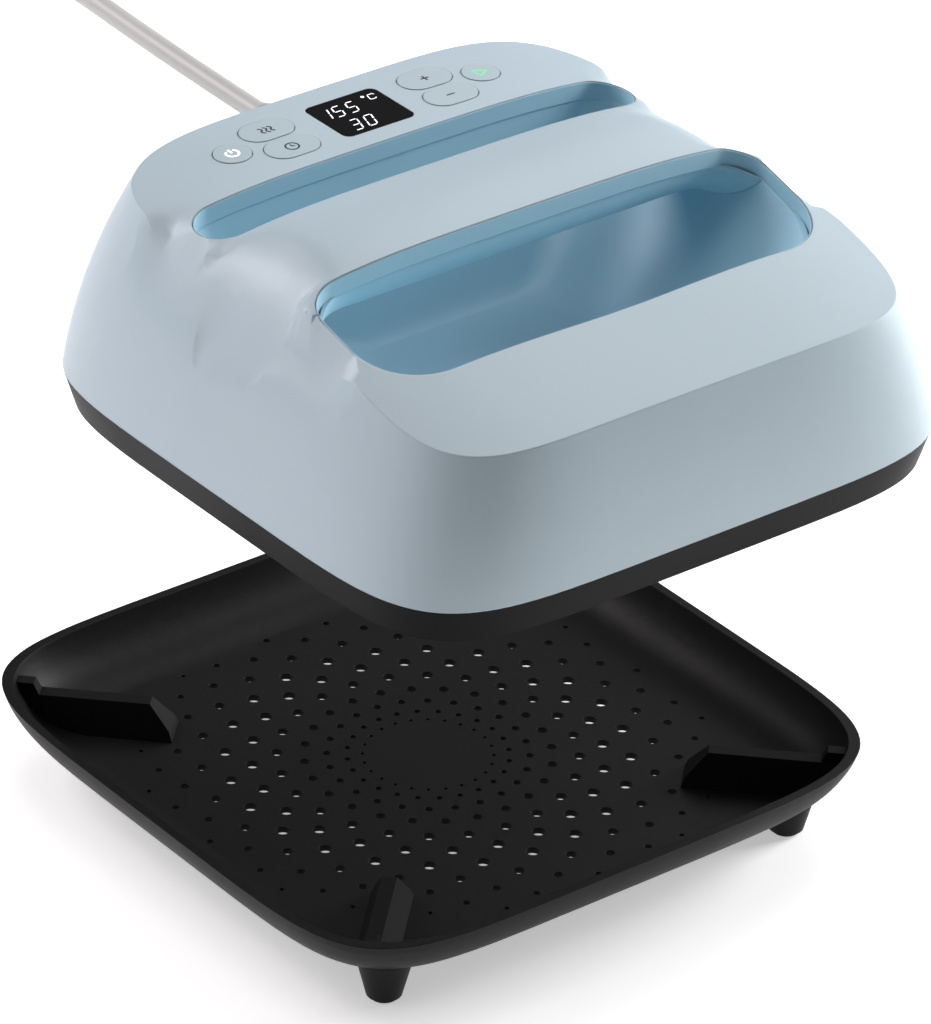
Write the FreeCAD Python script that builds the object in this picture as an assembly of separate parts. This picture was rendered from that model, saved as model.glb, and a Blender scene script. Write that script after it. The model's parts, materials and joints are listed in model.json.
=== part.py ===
import FreeCAD, Part
import os
from math import cos, hypot, pi, radians, sin, sqrt, tan

# A handheld heat press held above its resting base. Millimetres, +Z up, -Y towards the user.
# The press is drawn from PRESS datum: plan centre of its lower edge. The base is drawn from its own
# plan centre at the feet, and save() puts both into one frame whose origin is the grip's centre.

V = FreeCAD.Vector
os.makedirs("parts", exist_ok=True)

# Driving dimensions: whole object
GRIP = V(0, 10, 87)
BASE_AT = V(-19.0, 11.7, -163.2)
MOVING_GAP = 0.3

# Housing
JOINT_Z = 14.0
JOINT_HALF = 130.0
JOINT_POWER = 5.7
TOP_Z = 113.0
TOP_POWER = 5.2
SIDE_DRAFT = 18.3
END_DRAFT = 16.45
SIDE_BULGE = 3.0
END_BULGE = 8.0
WALL = 2.8
WALL_PLAY = 0.2
DECK_Z = 93.7
DOME_DROP = 6.3
DOME_HALF = 106.0
CREST_Z = 100.5
CREST_Y = 6.0
CREST_REAR_R = 72.0
PANEL_SLOPE = 0.26
PANEL_R = 100.0
SHOULDER_R = 30.0
SHOULDER_X = 81.0
SHOULDER_OUT = 48.0
SHOULDER_STEEP = 58.0

# Openings in the housing
LIP_DEPTH = 6.5
LIP_WALL = 2.0
FRONT_HALF = 103.0
FRONT_Y0 = -76.3
FRONT_Y1 = -16.0
FRONT_BOW = 3.4
SLOT_HALF = 100.0
SLOT_Y0 = 37.0
SLOT_Y1 = 62.5
SEAM_STEP = 0.4

# Hand recess and grip
LINER_WALL = 2.0
RECESS_FLOOR_Z = 29.0
UNDERSIDE_Z = 74.5
UNDERSIDE_R = 16.0
UNDERSIDE_WALL = 2.0

# Lower housing
SKIRT_HALF = 126.0
SKIRT_POWER = 5.9
SKIRT_WALL = 2.6
DECKPLATE_Z = 15.5
DECKPLATE_T = 2.5
TONGUE_FIT = 0.1
LEDGE_Z = 5.0
LEDGE_T = 3.0
LINING_Z = 1.0
PLATE_PLAY = 0.8

# Heat plate and what lies on it
PLATE_DROP = 4.5
PLATE_TOP = 3.5
PLATE_HALF = 118.0
FACE_HALF = 114.5
SEAL_W = 4.0
ELEMENT_R = 3.25
ELEMENT_HALF = 84.0
ELEMENT_BEND = 24.0
TERMINAL_X = 15.0
STUD_AT = 92.0
STUD_R = 2.0
SPACER_R = 5.0
BLANKET_Z = 7.5
SHIELD_Z = 13.0
SHIELD_T = 0.8

# Controls
BUTTON_R = 7.3
BUTTON_LONG = 22.4
BUTTON_PROUD = 0.25
BUTTON_TRAVEL = 0.6
BUTTON_FLANGE = 0.55
ROUND_AT = (58.0, 87.0)
UPPER_AT = (37.0, 94.5)
LOWER_AT = (37.0, 78.2)
WINDOW_W = 33.0
WINDOW_D = 28.5
WINDOW_Y = 86.0
WINDOW_T = 1.6
BOARD_T = 1.6
DISPLAY_BOARD_Z = 79.0

# Cord
CORD_R = 4.2
CORD_Z = 66.8
CORD_START_Y = 98.0
RELIEF_Y = 126.2
RELIEF_END_Y = 149.0
RELIEF_CORE = 12.2
RELIEF_FLANGE_R = 8.6
CLAMP_HALF = 17.0
CLAMP_Y0 = 99.0
CLAMP_Y1 = 106.5
CLAMP_T = 7.0
CORD_LENGTH = 1800.0
COIL_AT = V(-135, 400, 0)
COIL_R = 48.0

# Base
RIM_HALF = 131.0
RIM_Z = 38.0
RIM_POWER = 6.0
RIM_W = 3.6
FLOOR_HALF = 105.0
FLOOR_Z = 18.0
TRAY_T = 2.5
FOOT_AT = (96.0, 100.0)
FOOT_TOP_R = 11.0
FOOT_R = 6.8
PAD_PROUD = 1.5
CRADLE_T = 6.0
CRADLE_FOOT_T = 16.0
CRADLE_NOSE = 98.0
CRADLE_FLAT = 107.5
CRADLE_STOP = 150.6
LEDGE_TOP = 31.5
STOP_TOP = 36.0
CRADLE_SCREW = 115.0
HOLES_PER_RING = 24
HOLE_TURN = 0.04
HOLE_RINGS = ((25.2, 0.8), (31.2, 1.2), (38.9, 1.55), (47.7, 1.95), (57.9, 2.3), (67.7, 2.6),
              (77.7, 2.6), (87.2, 2.1), (95.9, 1.75), (103.6, 1.35), (109.8, 0.95))

TABLE_Z = BASE_AT.z


def save(name, *solids, base=False):
    """Write one node, moved into the shared frame, and name any solid that is not sound."""
    shape = solids[0] if len(solids) == 1 else Part.makeCompound(list(solids))
    shape = shape.copy()
    shape.translate((BASE_AT if base else V()) - GRIP)
    if not shape.Solids or not shape.isValid():
        print("UNSOUND", name, len(shape.Solids))
    shape.exportStep(f"parts/{name}.step")


def one(shape):
    """The largest solid of a boolean result."""
    return max(shape.Solids, key=lambda s: s.Volume)


def box(x0, x1, y0, y1, z0, z1):
    return Part.makeBox(x1 - x0, y1 - y0, z1 - z0, V(x0, y0, z0))


def rod(r, x, y, z0, z1):
    return Part.makeCylinder(r, z1 - z0, V(x, y, z0))


def rod_y(r, x, z, y0, y1):
    return Part.makeCylinder(r, y1 - y0, V(x, y0, z), V(0, 1, 0))


def rod_x(r, y, z, x0, x1):
    return Part.makeCylinder(r, x1 - x0, V(x0, y, z), V(1, 0, 0))


def hexagon(r, x, y, z0, z1):
    points = [V(x + r * cos(pi * i / 3), y + r * sin(pi * i / 3), z0) for i in range(7)]
    return Part.Face(Part.makePolygon(points)).extrude(V(0, 0, z1 - z0))


def squircle(half_x, half_y, power, z, parts=1):
    """A square outline with soft corners, as one closed curve or cut into as many equal parts."""
    points = []
    for i in range(64):
        c, s = abs(cos(pi * i / 32)), abs(sin(pi * i / 32))
        r = ((c / half_x) ** power + (s / half_y) ** power) ** (-1 / power)
        points.append(V(r * cos(pi * i / 32), r * sin(pi * i / 32), z))
    curve = Part.BSplineCurve()
    curve.interpolate(Points=points, PeriodicFlag=True)
    if parts == 1:
        return Part.Wire([curve.toShape()])
    ends = [curve.parameter(points[64 * i // parts]) for i in range(1, parts)]
    ends = [curve.FirstParameter] + ends + [curve.LastParameter]
    return Part.Wire([curve.toShape(start, end) for start, end in zip(ends, ends[1:])])


def frame_line(half, power, z):
    """The lower housing's outlines, in short parts so that bands between two of them keep true faces."""
    return squircle(half, half, power, z, 16)


def loft(wires, ruled=False):
    return Part.makeLoft(wires, True, ruled)


def corner(before, at, after, radius):
    """Where a round corner starts, its middle and where it ends."""
    a = (before - at).normalize()
    b = (after - at).normalize()
    half = a.getAngle(b) / 2
    reach = radius / tan(half)
    middle = (a + b).normalize() * (radius / sin(half) - radius)
    return at + a * reach, at + middle, at + b * reach


def round_loop(points, radii):
    """A closed flat wire of straight sides and round corners."""
    corners = []
    for i, at in enumerate(points):
        corners.append(corner(points[i - 1], at, points[(i + 1) % len(points)], radii[i]))
    edges = []
    for i, (start, middle, end) in enumerate(corners):
        edges.append(Part.Arc(start, middle, end).toShape())
        edges.append(Part.LineSegment(end, corners[(i + 1) % len(corners)][0]).toShape())
    return Part.Wire(edges)


def prism(wire, height):
    return Part.Face(wire).extrude(V(0, 0, height))


def ring(outer_wire, inner_wire, height):
    """The band between two closed flat wires, raised by a height."""
    return Part.makeFace([outer_wire, inner_wire], "Part::FaceMakerBullseye").extrude(V(0, 0, height))


def rounded_box(half_x, half_y, r, x, y, z0, z1):
    points = [V(x + i * half_x, y + j * half_y, z0) for i, j in ((-1, -1), (1, -1), (1, 1), (-1, 1))]
    return prism(round_loop(points, [r] * 4), z1 - z0)


def bends(points):
    """The radius of each turn of a route, as large as its two runs allow."""
    radii = []
    for before, at, after in zip(points, points[1:], points[2:]):
        turn = pi - (before - at).getAngle(after - at)
        shorter = min((before - at).Length, (after - at).Length)
        radii.append(0.45 * shorter / tan(turn / 2))
    return radii


def route(points, radii):
    """A wire of straight runs joined by tangent arcs."""
    edges = []
    here = points[0]
    for i, radius in enumerate(radii):
        start, middle, end = corner(points[i], points[i + 1], points[i + 2], radius)
        edges.append(Part.LineSegment(here, start).toShape())
        edges.append(Part.Arc(start, middle, end).toShape())
        here = end
    edges.append(Part.LineSegment(here, points[-1]).toShape())
    return Part.Wire(edges)


def tube(points, r, radii):
    """A round bar swept along a route."""
    wire = route(points, radii)
    ring = Part.Wire([Part.makeCircle(r, points[0], points[1] - points[0])])
    return wire.makePipeShell([ring], True, False)


# ---------------------------------------------------------------- housing surfaces

def smooth_step(x, x0, x1):
    t = min(1.0, max(0.0, (x - x0) / (x1 - x0)))
    return t * t * (3 - 2 * t)


def profile(y):
    """Height of the top surface on the middle line: deck, grip crest, sloping front panel."""
    panel_y = CREST_Y - PANEL_SLOPE * PANEL_R
    if y < panel_y:
        return CREST_Z - PANEL_SLOPE ** 2 * PANEL_R / 2 - PANEL_SLOPE * (panel_y - y)
    if y < CREST_Y:
        return CREST_Z - (y - CREST_Y) ** 2 / (2 * PANEL_R)
    over = CREST_Z - (y - CREST_Y) ** 2 / (2 * CREST_REAR_R) - DECK_Z
    return DECK_Z + (over + sqrt(over ** 2 + 0.1)) / 2


def shoulder(x, y):
    """How far the grip's ends have rolled down towards the side walls."""
    spread = smooth_step(y, SLOT_Y0 - 13, SLOT_Y1 - 8) + smooth_step(-y, 6, 46)
    into = abs(x) - SHOULDER_X - SHOULDER_OUT * spread
    if into <= 0:
        return 0.0
    steep = radians(SHOULDER_STEEP)
    if into < SHOULDER_R * sin(steep):
        return SHOULDER_R - sqrt(SHOULDER_R ** 2 - into ** 2)
    return SHOULDER_R * (1 - cos(steep)) + tan(steep) * (into - SHOULDER_R * sin(steep))


def top(x, y):
    return profile(y) - DOME_DROP * (abs(x) / DOME_HALF) ** 4 - shoulder(x, y)


def top_block(thickness, steps=46, x_reach=JOINT_HALF + 8, y_low=-JOINT_HALF - 8, y_high=JOINT_HALF + 8):
    """Everything below the top surface, taken in by a wall thickness measured square to it."""
    rows = []
    for i in range(steps + 1):
        row = []
        for j in range(steps + 1):
            x = x_reach * (2 * i / steps - 1)
            y = y_low + (y_high - y_low) * j / steps
            slope = hypot((top(x + 1, y) - top(x - 1, y)) / 2, (top(x, y + 1) - top(x, y - 1)) / 2)
            row.append(V(x, y, top(x, y) - thickness * sqrt(1 + slope ** 2)))
        rows.append(row)
    surface = Part.BSplineSurface()
    surface.interpolate(rows)
    return surface.toShape().extrude(V(0, 0, -2 * TOP_Z))


def wall_loft(inset, z0):
    """The drafted, slightly convex side walls, carried up past the top surface."""
    wires = []
    for z in (z0, 38.0, 62.0, 88.0, TOP_Z):
        share = (z - JOINT_Z) / (TOP_Z - JOINT_Z)
        bow = 4 * share * (1 - share)
        half_x = JOINT_HALF - (z - JOINT_Z) * tan(radians(SIDE_DRAFT)) + SIDE_BULGE * bow - inset
        half_y = JOINT_HALF - (z - JOINT_Z) * tan(radians(END_DRAFT)) + END_BULGE * bow - inset
        power = JOINT_POWER + (TOP_POWER - JOINT_POWER) * share
        wires.append(squircle(half_x, half_y, power, z))
    return loft(wires)


outer = one(wall_loft(0, JOINT_Z).common(top_block(0)))
inner = one(wall_loft(WALL + WALL_PLAY, JOINT_Z - 2).common(top_block(WALL)))
below_lip = outer.copy()
below_lip.translate(V(0, 0, -LIP_DEPTH))


def front_wire(grow, z):
    """The hand opening in the front panel."""
    half, y0, y1 = FRONT_HALF + grow, FRONT_Y0 - grow, FRONT_Y1 + grow
    points = [V(-half, y1, z), V(-half, y0 + FRONT_BOW, z), V(0, y0, z), V(half, y0 + FRONT_BOW, z), V(half, y1, z)]
    return round_loop(points, [14 + grow, 28 + grow, 600, 28 + grow, 14 + grow])


def slot_wire(grow, z):
    """The finger slot behind the grip, a long hole with round ends."""
    r = (SLOT_Y1 - SLOT_Y0) / 2 + grow
    y = (SLOT_Y0 + SLOT_Y1) / 2
    x = SLOT_HALF + grow - r
    edges = [
        Part.LineSegment(V(-x, y - r, z), V(x, y - r, z)).toShape(),
        Part.Arc(V(x, y - r, z), V(x + r, y, z), V(x, y + r, z)).toShape(),
        Part.LineSegment(V(x, y + r, z), V(-x, y + r, z)).toShape(),
        Part.Arc(V(-x, y + r, z), V(-x - r, y, z), V(-x, y - r, z)).toShape(),
    ]
    return Part.Wire(edges)


# ---------------------------------------------------------------- controls

BUTTONS = {
    "power_button": (-ROUND_AT[0], ROUND_AT[1], 0.0),
    "go_button": (ROUND_AT[0], ROUND_AT[1], 0.0),
    "heat_button": (-UPPER_AT[0], UPPER_AT[1], BUTTON_LONG / 2 - BUTTON_R),
    "timer_button": (-LOWER_AT[0], LOWER_AT[1], BUTTON_LONG / 2 - BUTTON_R),
    "plus_button": (UPPER_AT[0], UPPER_AT[1], BUTTON_LONG / 2 - BUTTON_R),
    "minus_button": (LOWER_AT[0], LOWER_AT[1], BUTTON_LONG / 2 - BUTTON_R),
}


def key_shape(r, reach, x, y, z0, z1):
    """A round key, or a long one with round ends when reach is not zero."""
    if not reach:
        return rod(r, x, y, z0, z1)
    return rounded_box(reach + r, r, r - 0.001, x, y, z0, z1)


def deck_block(thickness, lift):
    """The part of the top surface that carries the controls."""
    block = top_block(thickness, 16, 78, SLOT_Y1 + 1, 112)
    block.translate(V(0, 0, lift))
    return block


def make_buttons():
    lid = deck_block(0, BUTTON_PROUD)
    under = deck_block(WALL, -MOVING_GAP)
    for name, (x, y, reach) in BUTTONS.items():
        cap = key_shape(BUTTON_R, reach, x, y, DECK_Z - 8, DECK_Z + 4).common(lid)
        flange = key_shape(BUTTON_R + BUTTON_FLANGE, reach, x, y, DECK_Z - 8, DECK_Z - 2).common(under)
        stem = rod(2.0, x, y, SWITCH_TOP + BUTTON_TRAVEL + MOVING_GAP, DECK_Z - 7)
        save(name, cap.fuse([flange, stem]).removeSplitter())


SWITCH_TOP = DISPLAY_BOARD_Z + BOARD_T + 4.3
DISPLAY_SCREWS = ((-66.0, 73.0), (66.0, 73.0), (-62.0, 104.0), (62.0, 104.0))


def make_display():
    board = box(-72, 72, 69.5, 108, DISPLAY_BOARD_Z, DISPLAY_BOARD_Z + BOARD_T)
    for x, y in DISPLAY_SCREWS:
        board = board.cut(rod(1.25, x, y, DISPLAY_BOARD_Z - 1, DISPLAY_BOARD_Z + 3))
    save("display_board", board)
    window = rounded_box(WINDOW_W / 2, WINDOW_D / 2, 3.5, 0, WINDOW_Y, DECK_Z - WINDOW_T, DECK_Z + 3)
    save("display_window", window.common(deck_block(0, 0)))
    module = rounded_box(WINDOW_W / 2 - 0.2, WINDOW_D / 2 - 0.2, 3.3, 0, WINDOW_Y,
                         DISPLAY_BOARD_Z + BOARD_T, DECK_Z - WINDOW_T)
    save("display_module", module)
    switches = []
    for x, y, reach in BUTTONS.values():
        body = box(x - 3, x + 3, y - 3, y + 3, DISPLAY_BOARD_Z + BOARD_T, SWITCH_TOP - 0.8)
        switches.append(body.fuse(rod(1.7, x, y, SWITCH_TOP - 1, SWITCH_TOP)))
    save("tact_switches", *switches)
    lamps = [box(x - 1.6, x + 1.6, 79.4, 81.4, DISPLAY_BOARD_Z + BOARD_T, DISPLAY_BOARD_Z + BOARD_T + 1.2)
             for x in (-ROUND_AT[0], ROUND_AT[0])]
    save("indicator_leds", *lamps)
    screws = []
    for x, y in DISPLAY_SCREWS:
        head = rod(2.6, x, y, DISPLAY_BOARD_Z - 1.9, DISPLAY_BOARD_Z)
        screws.append(head.fuse(rod(1.25, x, y, DISPLAY_BOARD_Z - 1, DISPLAY_BOARD_Z + 8)))
    save("display_screws", *screws)


# ---------------------------------------------------------------- upper housing

HOOKS = [(60.0, 0), (-60.0, 0), (60.0, 90), (-60.0, 90), (60.0, 180), (-60.0, 180), (60.0, 270), (-60.0, 270)]
HOOK_OUT = JOINT_HALF - WALL - WALL_PLAY + 0.6
CLAMP_SCREWS = (-11.0, 11.0)
CLAMP_SCREW_Y = 103.5
RELIEF_R = 6.2


def around(shape, degrees):
    shape = shape.copy()
    shape.rotate(V(), V(0, 0, 1), degrees)
    return shape


def hook(along, degrees):
    """A catch on the lower housing's raised edge, and the pocket that it clicks into."""
    return around(box(along - 6, along + 6, JOINT_HALF - 8, HOOK_OUT, 15.6, 17.2), degrees)


def make_upper_housing():
    """The wall is what lies between the two surfaces. The lips around the openings, which follow the top surface,
    the screw bosses and the clamp's block are kept out of the room inside it."""
    lips = [prism(wire_at(LIP_WALL, 60), 60).cut(below_lip) for wire_at in (front_wire, slot_wire)]
    bosses = [rod(3.4, x, y, DISPLAY_BOARD_Z + BOARD_T, DECK_Z + 2) for x, y in DISPLAY_SCREWS]
    clamp_block = box(-CLAMP_HALF, CLAMP_HALF, CLAMP_Y0, RELIEF_Y + 0.8, CORD_Z, CORD_Z + CLAMP_T + 1)
    shell = outer.cut(inner.cut(lips + bosses + [clamp_block]))
    cuts = [prism(front_wire(0, 60), 60), prism(slot_wire(0, 60), 60)]
    cuts.append(rounded_box(WINDOW_W / 2, WINDOW_D / 2, 3.5, 0, WINDOW_Y, DECK_Z - 8, DECK_Z + 3))
    for x, y, reach in BUTTONS.values():
        cuts.append(key_shape(BUTTON_R + MOVING_GAP, reach, x, y, DECK_Z - 8, DECK_Z + 4))
    cuts += [rod(1.25, x, y, DISPLAY_BOARD_Z, DISPLAY_BOARD_Z + 8) for x, y in DISPLAY_SCREWS]
    cuts += [rod(1.4, x, CLAMP_SCREW_Y, CORD_Z - 1, CORD_Z + 6.5) for x in CLAMP_SCREWS]
    cuts.append(rod_y(CORD_R, 0, CORD_Z, CLAMP_Y0 - 4, RELIEF_Y - 3))
    cuts.append(rod_y(RELIEF_R, 0, CORD_Z, RELIEF_Y - RELIEF_CORE, RELIEF_Y + 1))
    cuts += [hook(along, degrees) for along, degrees in HOOKS]
    save("upper_housing", one(shell.cut(cuts)))


# ---------------------------------------------------------------- hand recess and grip underside

RECESS = ((107.0, 0.0, 0.0, 1.0), (88.0, 0.0, 0.0, 1.0), (79.0, 2.4, 1.2, 1.0), (69.0, 7.5, 3.6, 1.0),
          (58.0, 16.0, 7.5, 0.95), (47.0, 28.0, 13.5, 0.9), (37.0, 43.0, 22.0, 0.85), (RECESS_FLOOR_Z, 60.0, 34.0, 0.8))


def recess(grow):
    """The bowl-ended hollow for the fingers. Each row gives a height and how far the ends and sides have drawn in."""
    wires = []
    for z, end_in, side_in, round_share in RECESS:
        front = FRONT_HALF + SEAM_STEP + grow - end_in
        rear = SLOT_HALF + SEAM_STEP + grow - end_in
        bow = FRONT_BOW * front / FRONT_HALF
        y0 = FRONT_Y0 - SEAM_STEP - grow + side_in
        y1 = SLOT_Y1 + SEAM_STEP + grow - side_in
        level = z - grow if z < 85 else z
        points = [V(-rear, y1, level), V(-front, y0 + bow, level), V(0, y0, level),
                  V(front, y0 + bow, level), V(rear, y1, level)]
        front_r, rear_r = (28 + grow) * round_share, (13 + grow) * round_share
        wires.append(round_loop(points, [rear_r, front_r, 3 * front, front_r, rear_r]))
    return loft(wires)


hollow = recess(0)
LINER_POSTS = ((-30.0, -30.0), (30.0, -30.0), (-30.0, 22.0), (30.0, 22.0))
POST_TOP = 23.0


def make_liner():
    bowl = recess(LINER_WALL).common(below_lip).common(inner)
    bosses = [rod(4.0, x, y, POST_TOP, RECESS_FLOOR_Z - 0.5) for x, y in LINER_POSTS]
    screw_holes = [rod(1.5, x, y, POST_TOP - 1, POST_TOP + 3.5) for x, y in LINER_POSTS]
    save("hand_recess_liner", one(bowl.fuse(bosses).cut([hollow] + screw_holes)))


def channel(x, y0, z0, r, inset):
    """One cross-section of the grip's underside, a trough open at the top."""
    y0, y1, z0, r = y0 + inset, SLOT_Y0 - SEAM_STEP - inset, z0 + inset, r - inset
    points = [V(x, y0, TOP_Z), V(x, y0, z0), V(x, y1, z0), V(x, y1, TOP_Z)]
    first, last = corner(*points[:3], r), corner(*points[1:], r)
    edges = [
        Part.LineSegment(points[0], first[0]).toShape(),
        Part.Arc(*first).toShape(),
        Part.LineSegment(first[2], last[0]).toShape(),
        Part.Arc(*last).toShape(),
        Part.LineSegment(last[2], points[3]).toShape(),
        Part.LineSegment(points[3], points[0]).toShape(),
    ]
    return Part.Wire(edges)


FLARE = ((78.0, 0.0, 0.0), (86.0, 0.8, 0.9), (93.0, 3.6, 3.0), (99.0, 9.5, 6.0), (105.0, 20.0, 10.0))


def underside(inset):
    """The trough along the grip, widening at both ends where it runs into the bowl."""
    y0 = FRONT_Y1 + SEAM_STEP
    span = FLARE[0][0]
    middle = Part.Face(channel(-span, y0, UNDERSIDE_Z, UNDERSIDE_R, inset)).extrude(V(2 * span, 0, 0))
    ends = []
    for side in (-1, 1):
        ends.append(loft([channel(side * x, y0 - out, UNDERSIDE_Z - down, UNDERSIDE_R + down / 2, inset)
                          for x, out, down in FLARE]))
    return middle.fuse(ends)


def make_underside():
    trough = underside(0).common(hollow).common(below_lip).common(inner)
    save("handle_underside", one(trough.cut(underside(UNDERSIDE_WALL))))


# ---------------------------------------------------------------- lower housing

BOARD_POSTS = ((-80.0, 74.0), (80.0, 74.0), (-80.0, 107.0), (80.0, 107.0))
MAIN_BOARD_Z = 26.0
STUDS = ((-STUD_AT, -STUD_AT), (STUD_AT, -STUD_AT), (-STUD_AT, STUD_AT), (STUD_AT, STUD_AT))
BOSS_BOTTOM = SHIELD_Z + SHIELD_T
FLOOR_TOP = DECKPLATE_Z + DECKPLATE_T
LEAD_HOLE = (24.0, 9.0)


def make_lower_housing():
    band = loft([frame_line(SKIRT_HALF, SKIRT_POWER, 0), frame_line(JOINT_HALF, JOINT_POWER, JOINT_Z)])
    edge = JOINT_HALF - WALL - WALL_PLAY - TONGUE_FIT
    tongue = loft([frame_line(edge, JOINT_POWER, JOINT_Z - 4), frame_line(edge, JOINT_POWER, JOINT_Z),
                   frame_line(edge - 1.0, JOINT_POWER, FLOOR_TOP)], ruled=True)
    hollow_half = SKIRT_HALF - SKIRT_WALL
    room = prism(frame_line(hollow_half, SKIRT_POWER, -1), DECKPLATE_Z + 1)
    body = band.fuse([tongue]).cut(room)
    wide, mid, narrow = hollow_half + 0.5, PLATE_HALF + PLATE_PLAY, PLATE_HALF - SEAL_W - 1
    ledge = ring(frame_line(wide, SKIRT_POWER, LEDGE_Z), frame_line(narrow, SKIRT_POWER, LEDGE_Z), LEDGE_T)
    lining = ring(frame_line(wide, SKIRT_POWER, LINING_Z), frame_line(mid, SKIRT_POWER, LINING_Z), LEDGE_Z)
    studs = [rod(8.0, x, y, BOSS_BOTTOM, DECKPLATE_Z + 1) for x, y in STUDS]
    posts = [rod(3.6, x, y, FLOOR_TOP - 1, MAIN_BOARD_Z) for x, y in BOARD_POSTS]
    liner_posts = [rod(4.0, x, y, FLOOR_TOP - 1, POST_TOP) for x, y in LINER_POSTS]
    catches = [hook(along, degrees) for along, degrees in HOOKS]
    body = body.fuse([ledge, lining] + studs + posts + liner_posts + catches)
    cuts = [rod(STUD_R, x, y, 10, 20) for x, y in STUDS]
    cuts += [rod(1.3, x, y, FLOOR_TOP + 1, MAIN_BOARD_Z + 1) for x, y in BOARD_POSTS]
    cuts += [rod(1.5, x, y, 10, POST_TOP + 1) for x, y in LINER_POSTS]
    cuts.append(box(-LEAD_HOLE[0], LEAD_HOLE[0], ELEMENT_HALF - LEAD_HOLE[1], ELEMENT_HALF + LEAD_HOLE[1] - 2, 10, 20))
    save("lower_housing", one(body.cut(cuts)))
    heads = [rod(2.8, x, y, DECKPLATE_Z - 1.5, DECKPLATE_Z) for x, y in LINER_POSTS]
    shanks = [rod(1.5, x, y, DECKPLATE_Z - 1, POST_TOP + 3.5) for x, y in LINER_POSTS]
    save("liner_screws", *[head.fuse(shank) for head, shank in zip(heads, shanks)])


# ---------------------------------------------------------------- heat plate group

def element_points():
    """The loop of the heating element, seen from above, starting and ending at the two terminals."""
    h, z = ELEMENT_HALF, PLATE_TOP
    return [V(-TERMINAL_X, h, z), V(-h, h, z), V(-h, -h, z), V(h, -h, z), V(h, h, z), V(TERMINAL_X, h, z)]


TERMINAL_TOP = 23.0
CLAMPS = ((0.0, -ELEMENT_HALF, 0), (-ELEMENT_HALF, 0.0, 90), (ELEMENT_HALF, 0.0, 90))
CLAMP_TOP = BLANKET_Z
RISER_BEND = 8.0


def make_plate():
    h = FACE_HALF
    edge = PLATE_HALF
    rise = [(-PLATE_DROP, h), (-PLATE_DROP + 0.5, h + 1.6), (-PLATE_DROP + 1.6, edge - 0.6), (-PLATE_DROP + 3.0, edge)]
    slab = loft([squircle(w, w, SKIRT_POWER, z) for z, w in rise], ruled=True)
    slab = slab.fuse(prism(squircle(edge, edge, SKIRT_POWER, -PLATE_DROP + 3.0), PLATE_TOP + PLATE_DROP - 3.0))
    loop = element_points()
    high = V(0, 0, TERMINAL_TOP - PLATE_TOP)
    path = [loop[0] + high] + loop + [loop[-1] + high]
    element = tube(path, ELEMENT_R, [RISER_BEND] + [ELEMENT_BEND] * 4 + [RISER_BEND])
    save("heating_element", element)
    pins = [rod(1.4, x, ELEMENT_HALF, TERMINAL_TOP, TERMINAL_TOP + 6) for x in (-TERMINAL_X, TERMINAL_X)]
    save("element_terminals", *pins)
    clamps, screws = [], []
    for x, y, turn in CLAMPS:
        bar = around(box(-13, 13, -5, 5, PLATE_TOP, CLAMP_TOP), 90 - turn)
        bar.translate(V(x, y, 0))
        for side in (-9.0, 9.0):
            at = V(x, y + side, 0) if turn == 0 else V(x + side, y, 0)
            screws.append(rod(2.6, at.x, at.y, CLAMP_TOP, CLAMP_TOP + 1.8).fuse(rod(1.5, at.x, at.y, 0, CLAMP_TOP + 1)))
        clamps.append(bar)
    group = [one(bar.cut([element] + screws)) for bar in clamps]
    save("element_clamps", *group)
    studs = [rod(STUD_R, x, y, 0, 23) for x, y in STUDS]
    save("plate_studs", *studs)
    sensor_screw = rod(2.6, 4, 0, 7.0, 8.8).fuse(rod(1.5, 4, 0, 0, 8))
    fuse_screws = [rod(2.6, x, 43, 6.0, 7.4).fuse(rod(1.5, x, 43, 0, 7)) for x in (22.0, 46.0)]
    save("plate_screws", *(screws + [sensor_screw] + fuse_screws))
    cuts = [element] + screws + studs + [sensor_screw] + fuse_screws
    save("heat_plate", one(slab.cut(cuts)))
    make_sensors(sensor_screw, fuse_screws)
    spacers = [rod(SPACER_R, x, y, PLATE_TOP, SHIELD_Z).cut(rod(STUD_R, x, y, 0, 20)) for x, y in STUDS]
    save("plate_spacers", *spacers)
    nuts = [hexagon(4.0, x, y, FLOOR_TOP, FLOOR_TOP + 3.2).cut(rod(STUD_R, x, y, 10, 24)) for x, y in STUDS]
    save("plate_nuts", *nuts)
    rim, hole = PLATE_HALF - 0.5, PLATE_HALF - SEAL_W
    band = [squircle(half, half, SKIRT_POWER, PLATE_TOP) for half in (rim, hole)]
    save("plate_seal", ring(*band, LEDGE_Z - PLATE_TOP))
    way = box(-LEAD_HOLE[0], LEAD_HOLE[0], ELEMENT_HALF - LEAD_HOLE[1], ELEMENT_HALF + LEAD_HOLE[1] - 2, 0, 20)
    blanket = prism(squircle(106, 106, SKIRT_POWER, BLANKET_Z), SHIELD_Z - BLANKET_Z)
    room = [rod(SPACER_R, x, y, 0, 20) for x, y in STUDS] + screws + [sensor_screw, way]
    save("insulation_blanket", one(blanket.cut(room)))
    shield = prism(squircle(108, 108, SKIRT_POWER, SHIELD_Z), SHIELD_T)
    save("heat_shield", shield.cut([rod(STUD_R, x, y, 0, 20) for x, y in STUDS] + [way]))


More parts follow.
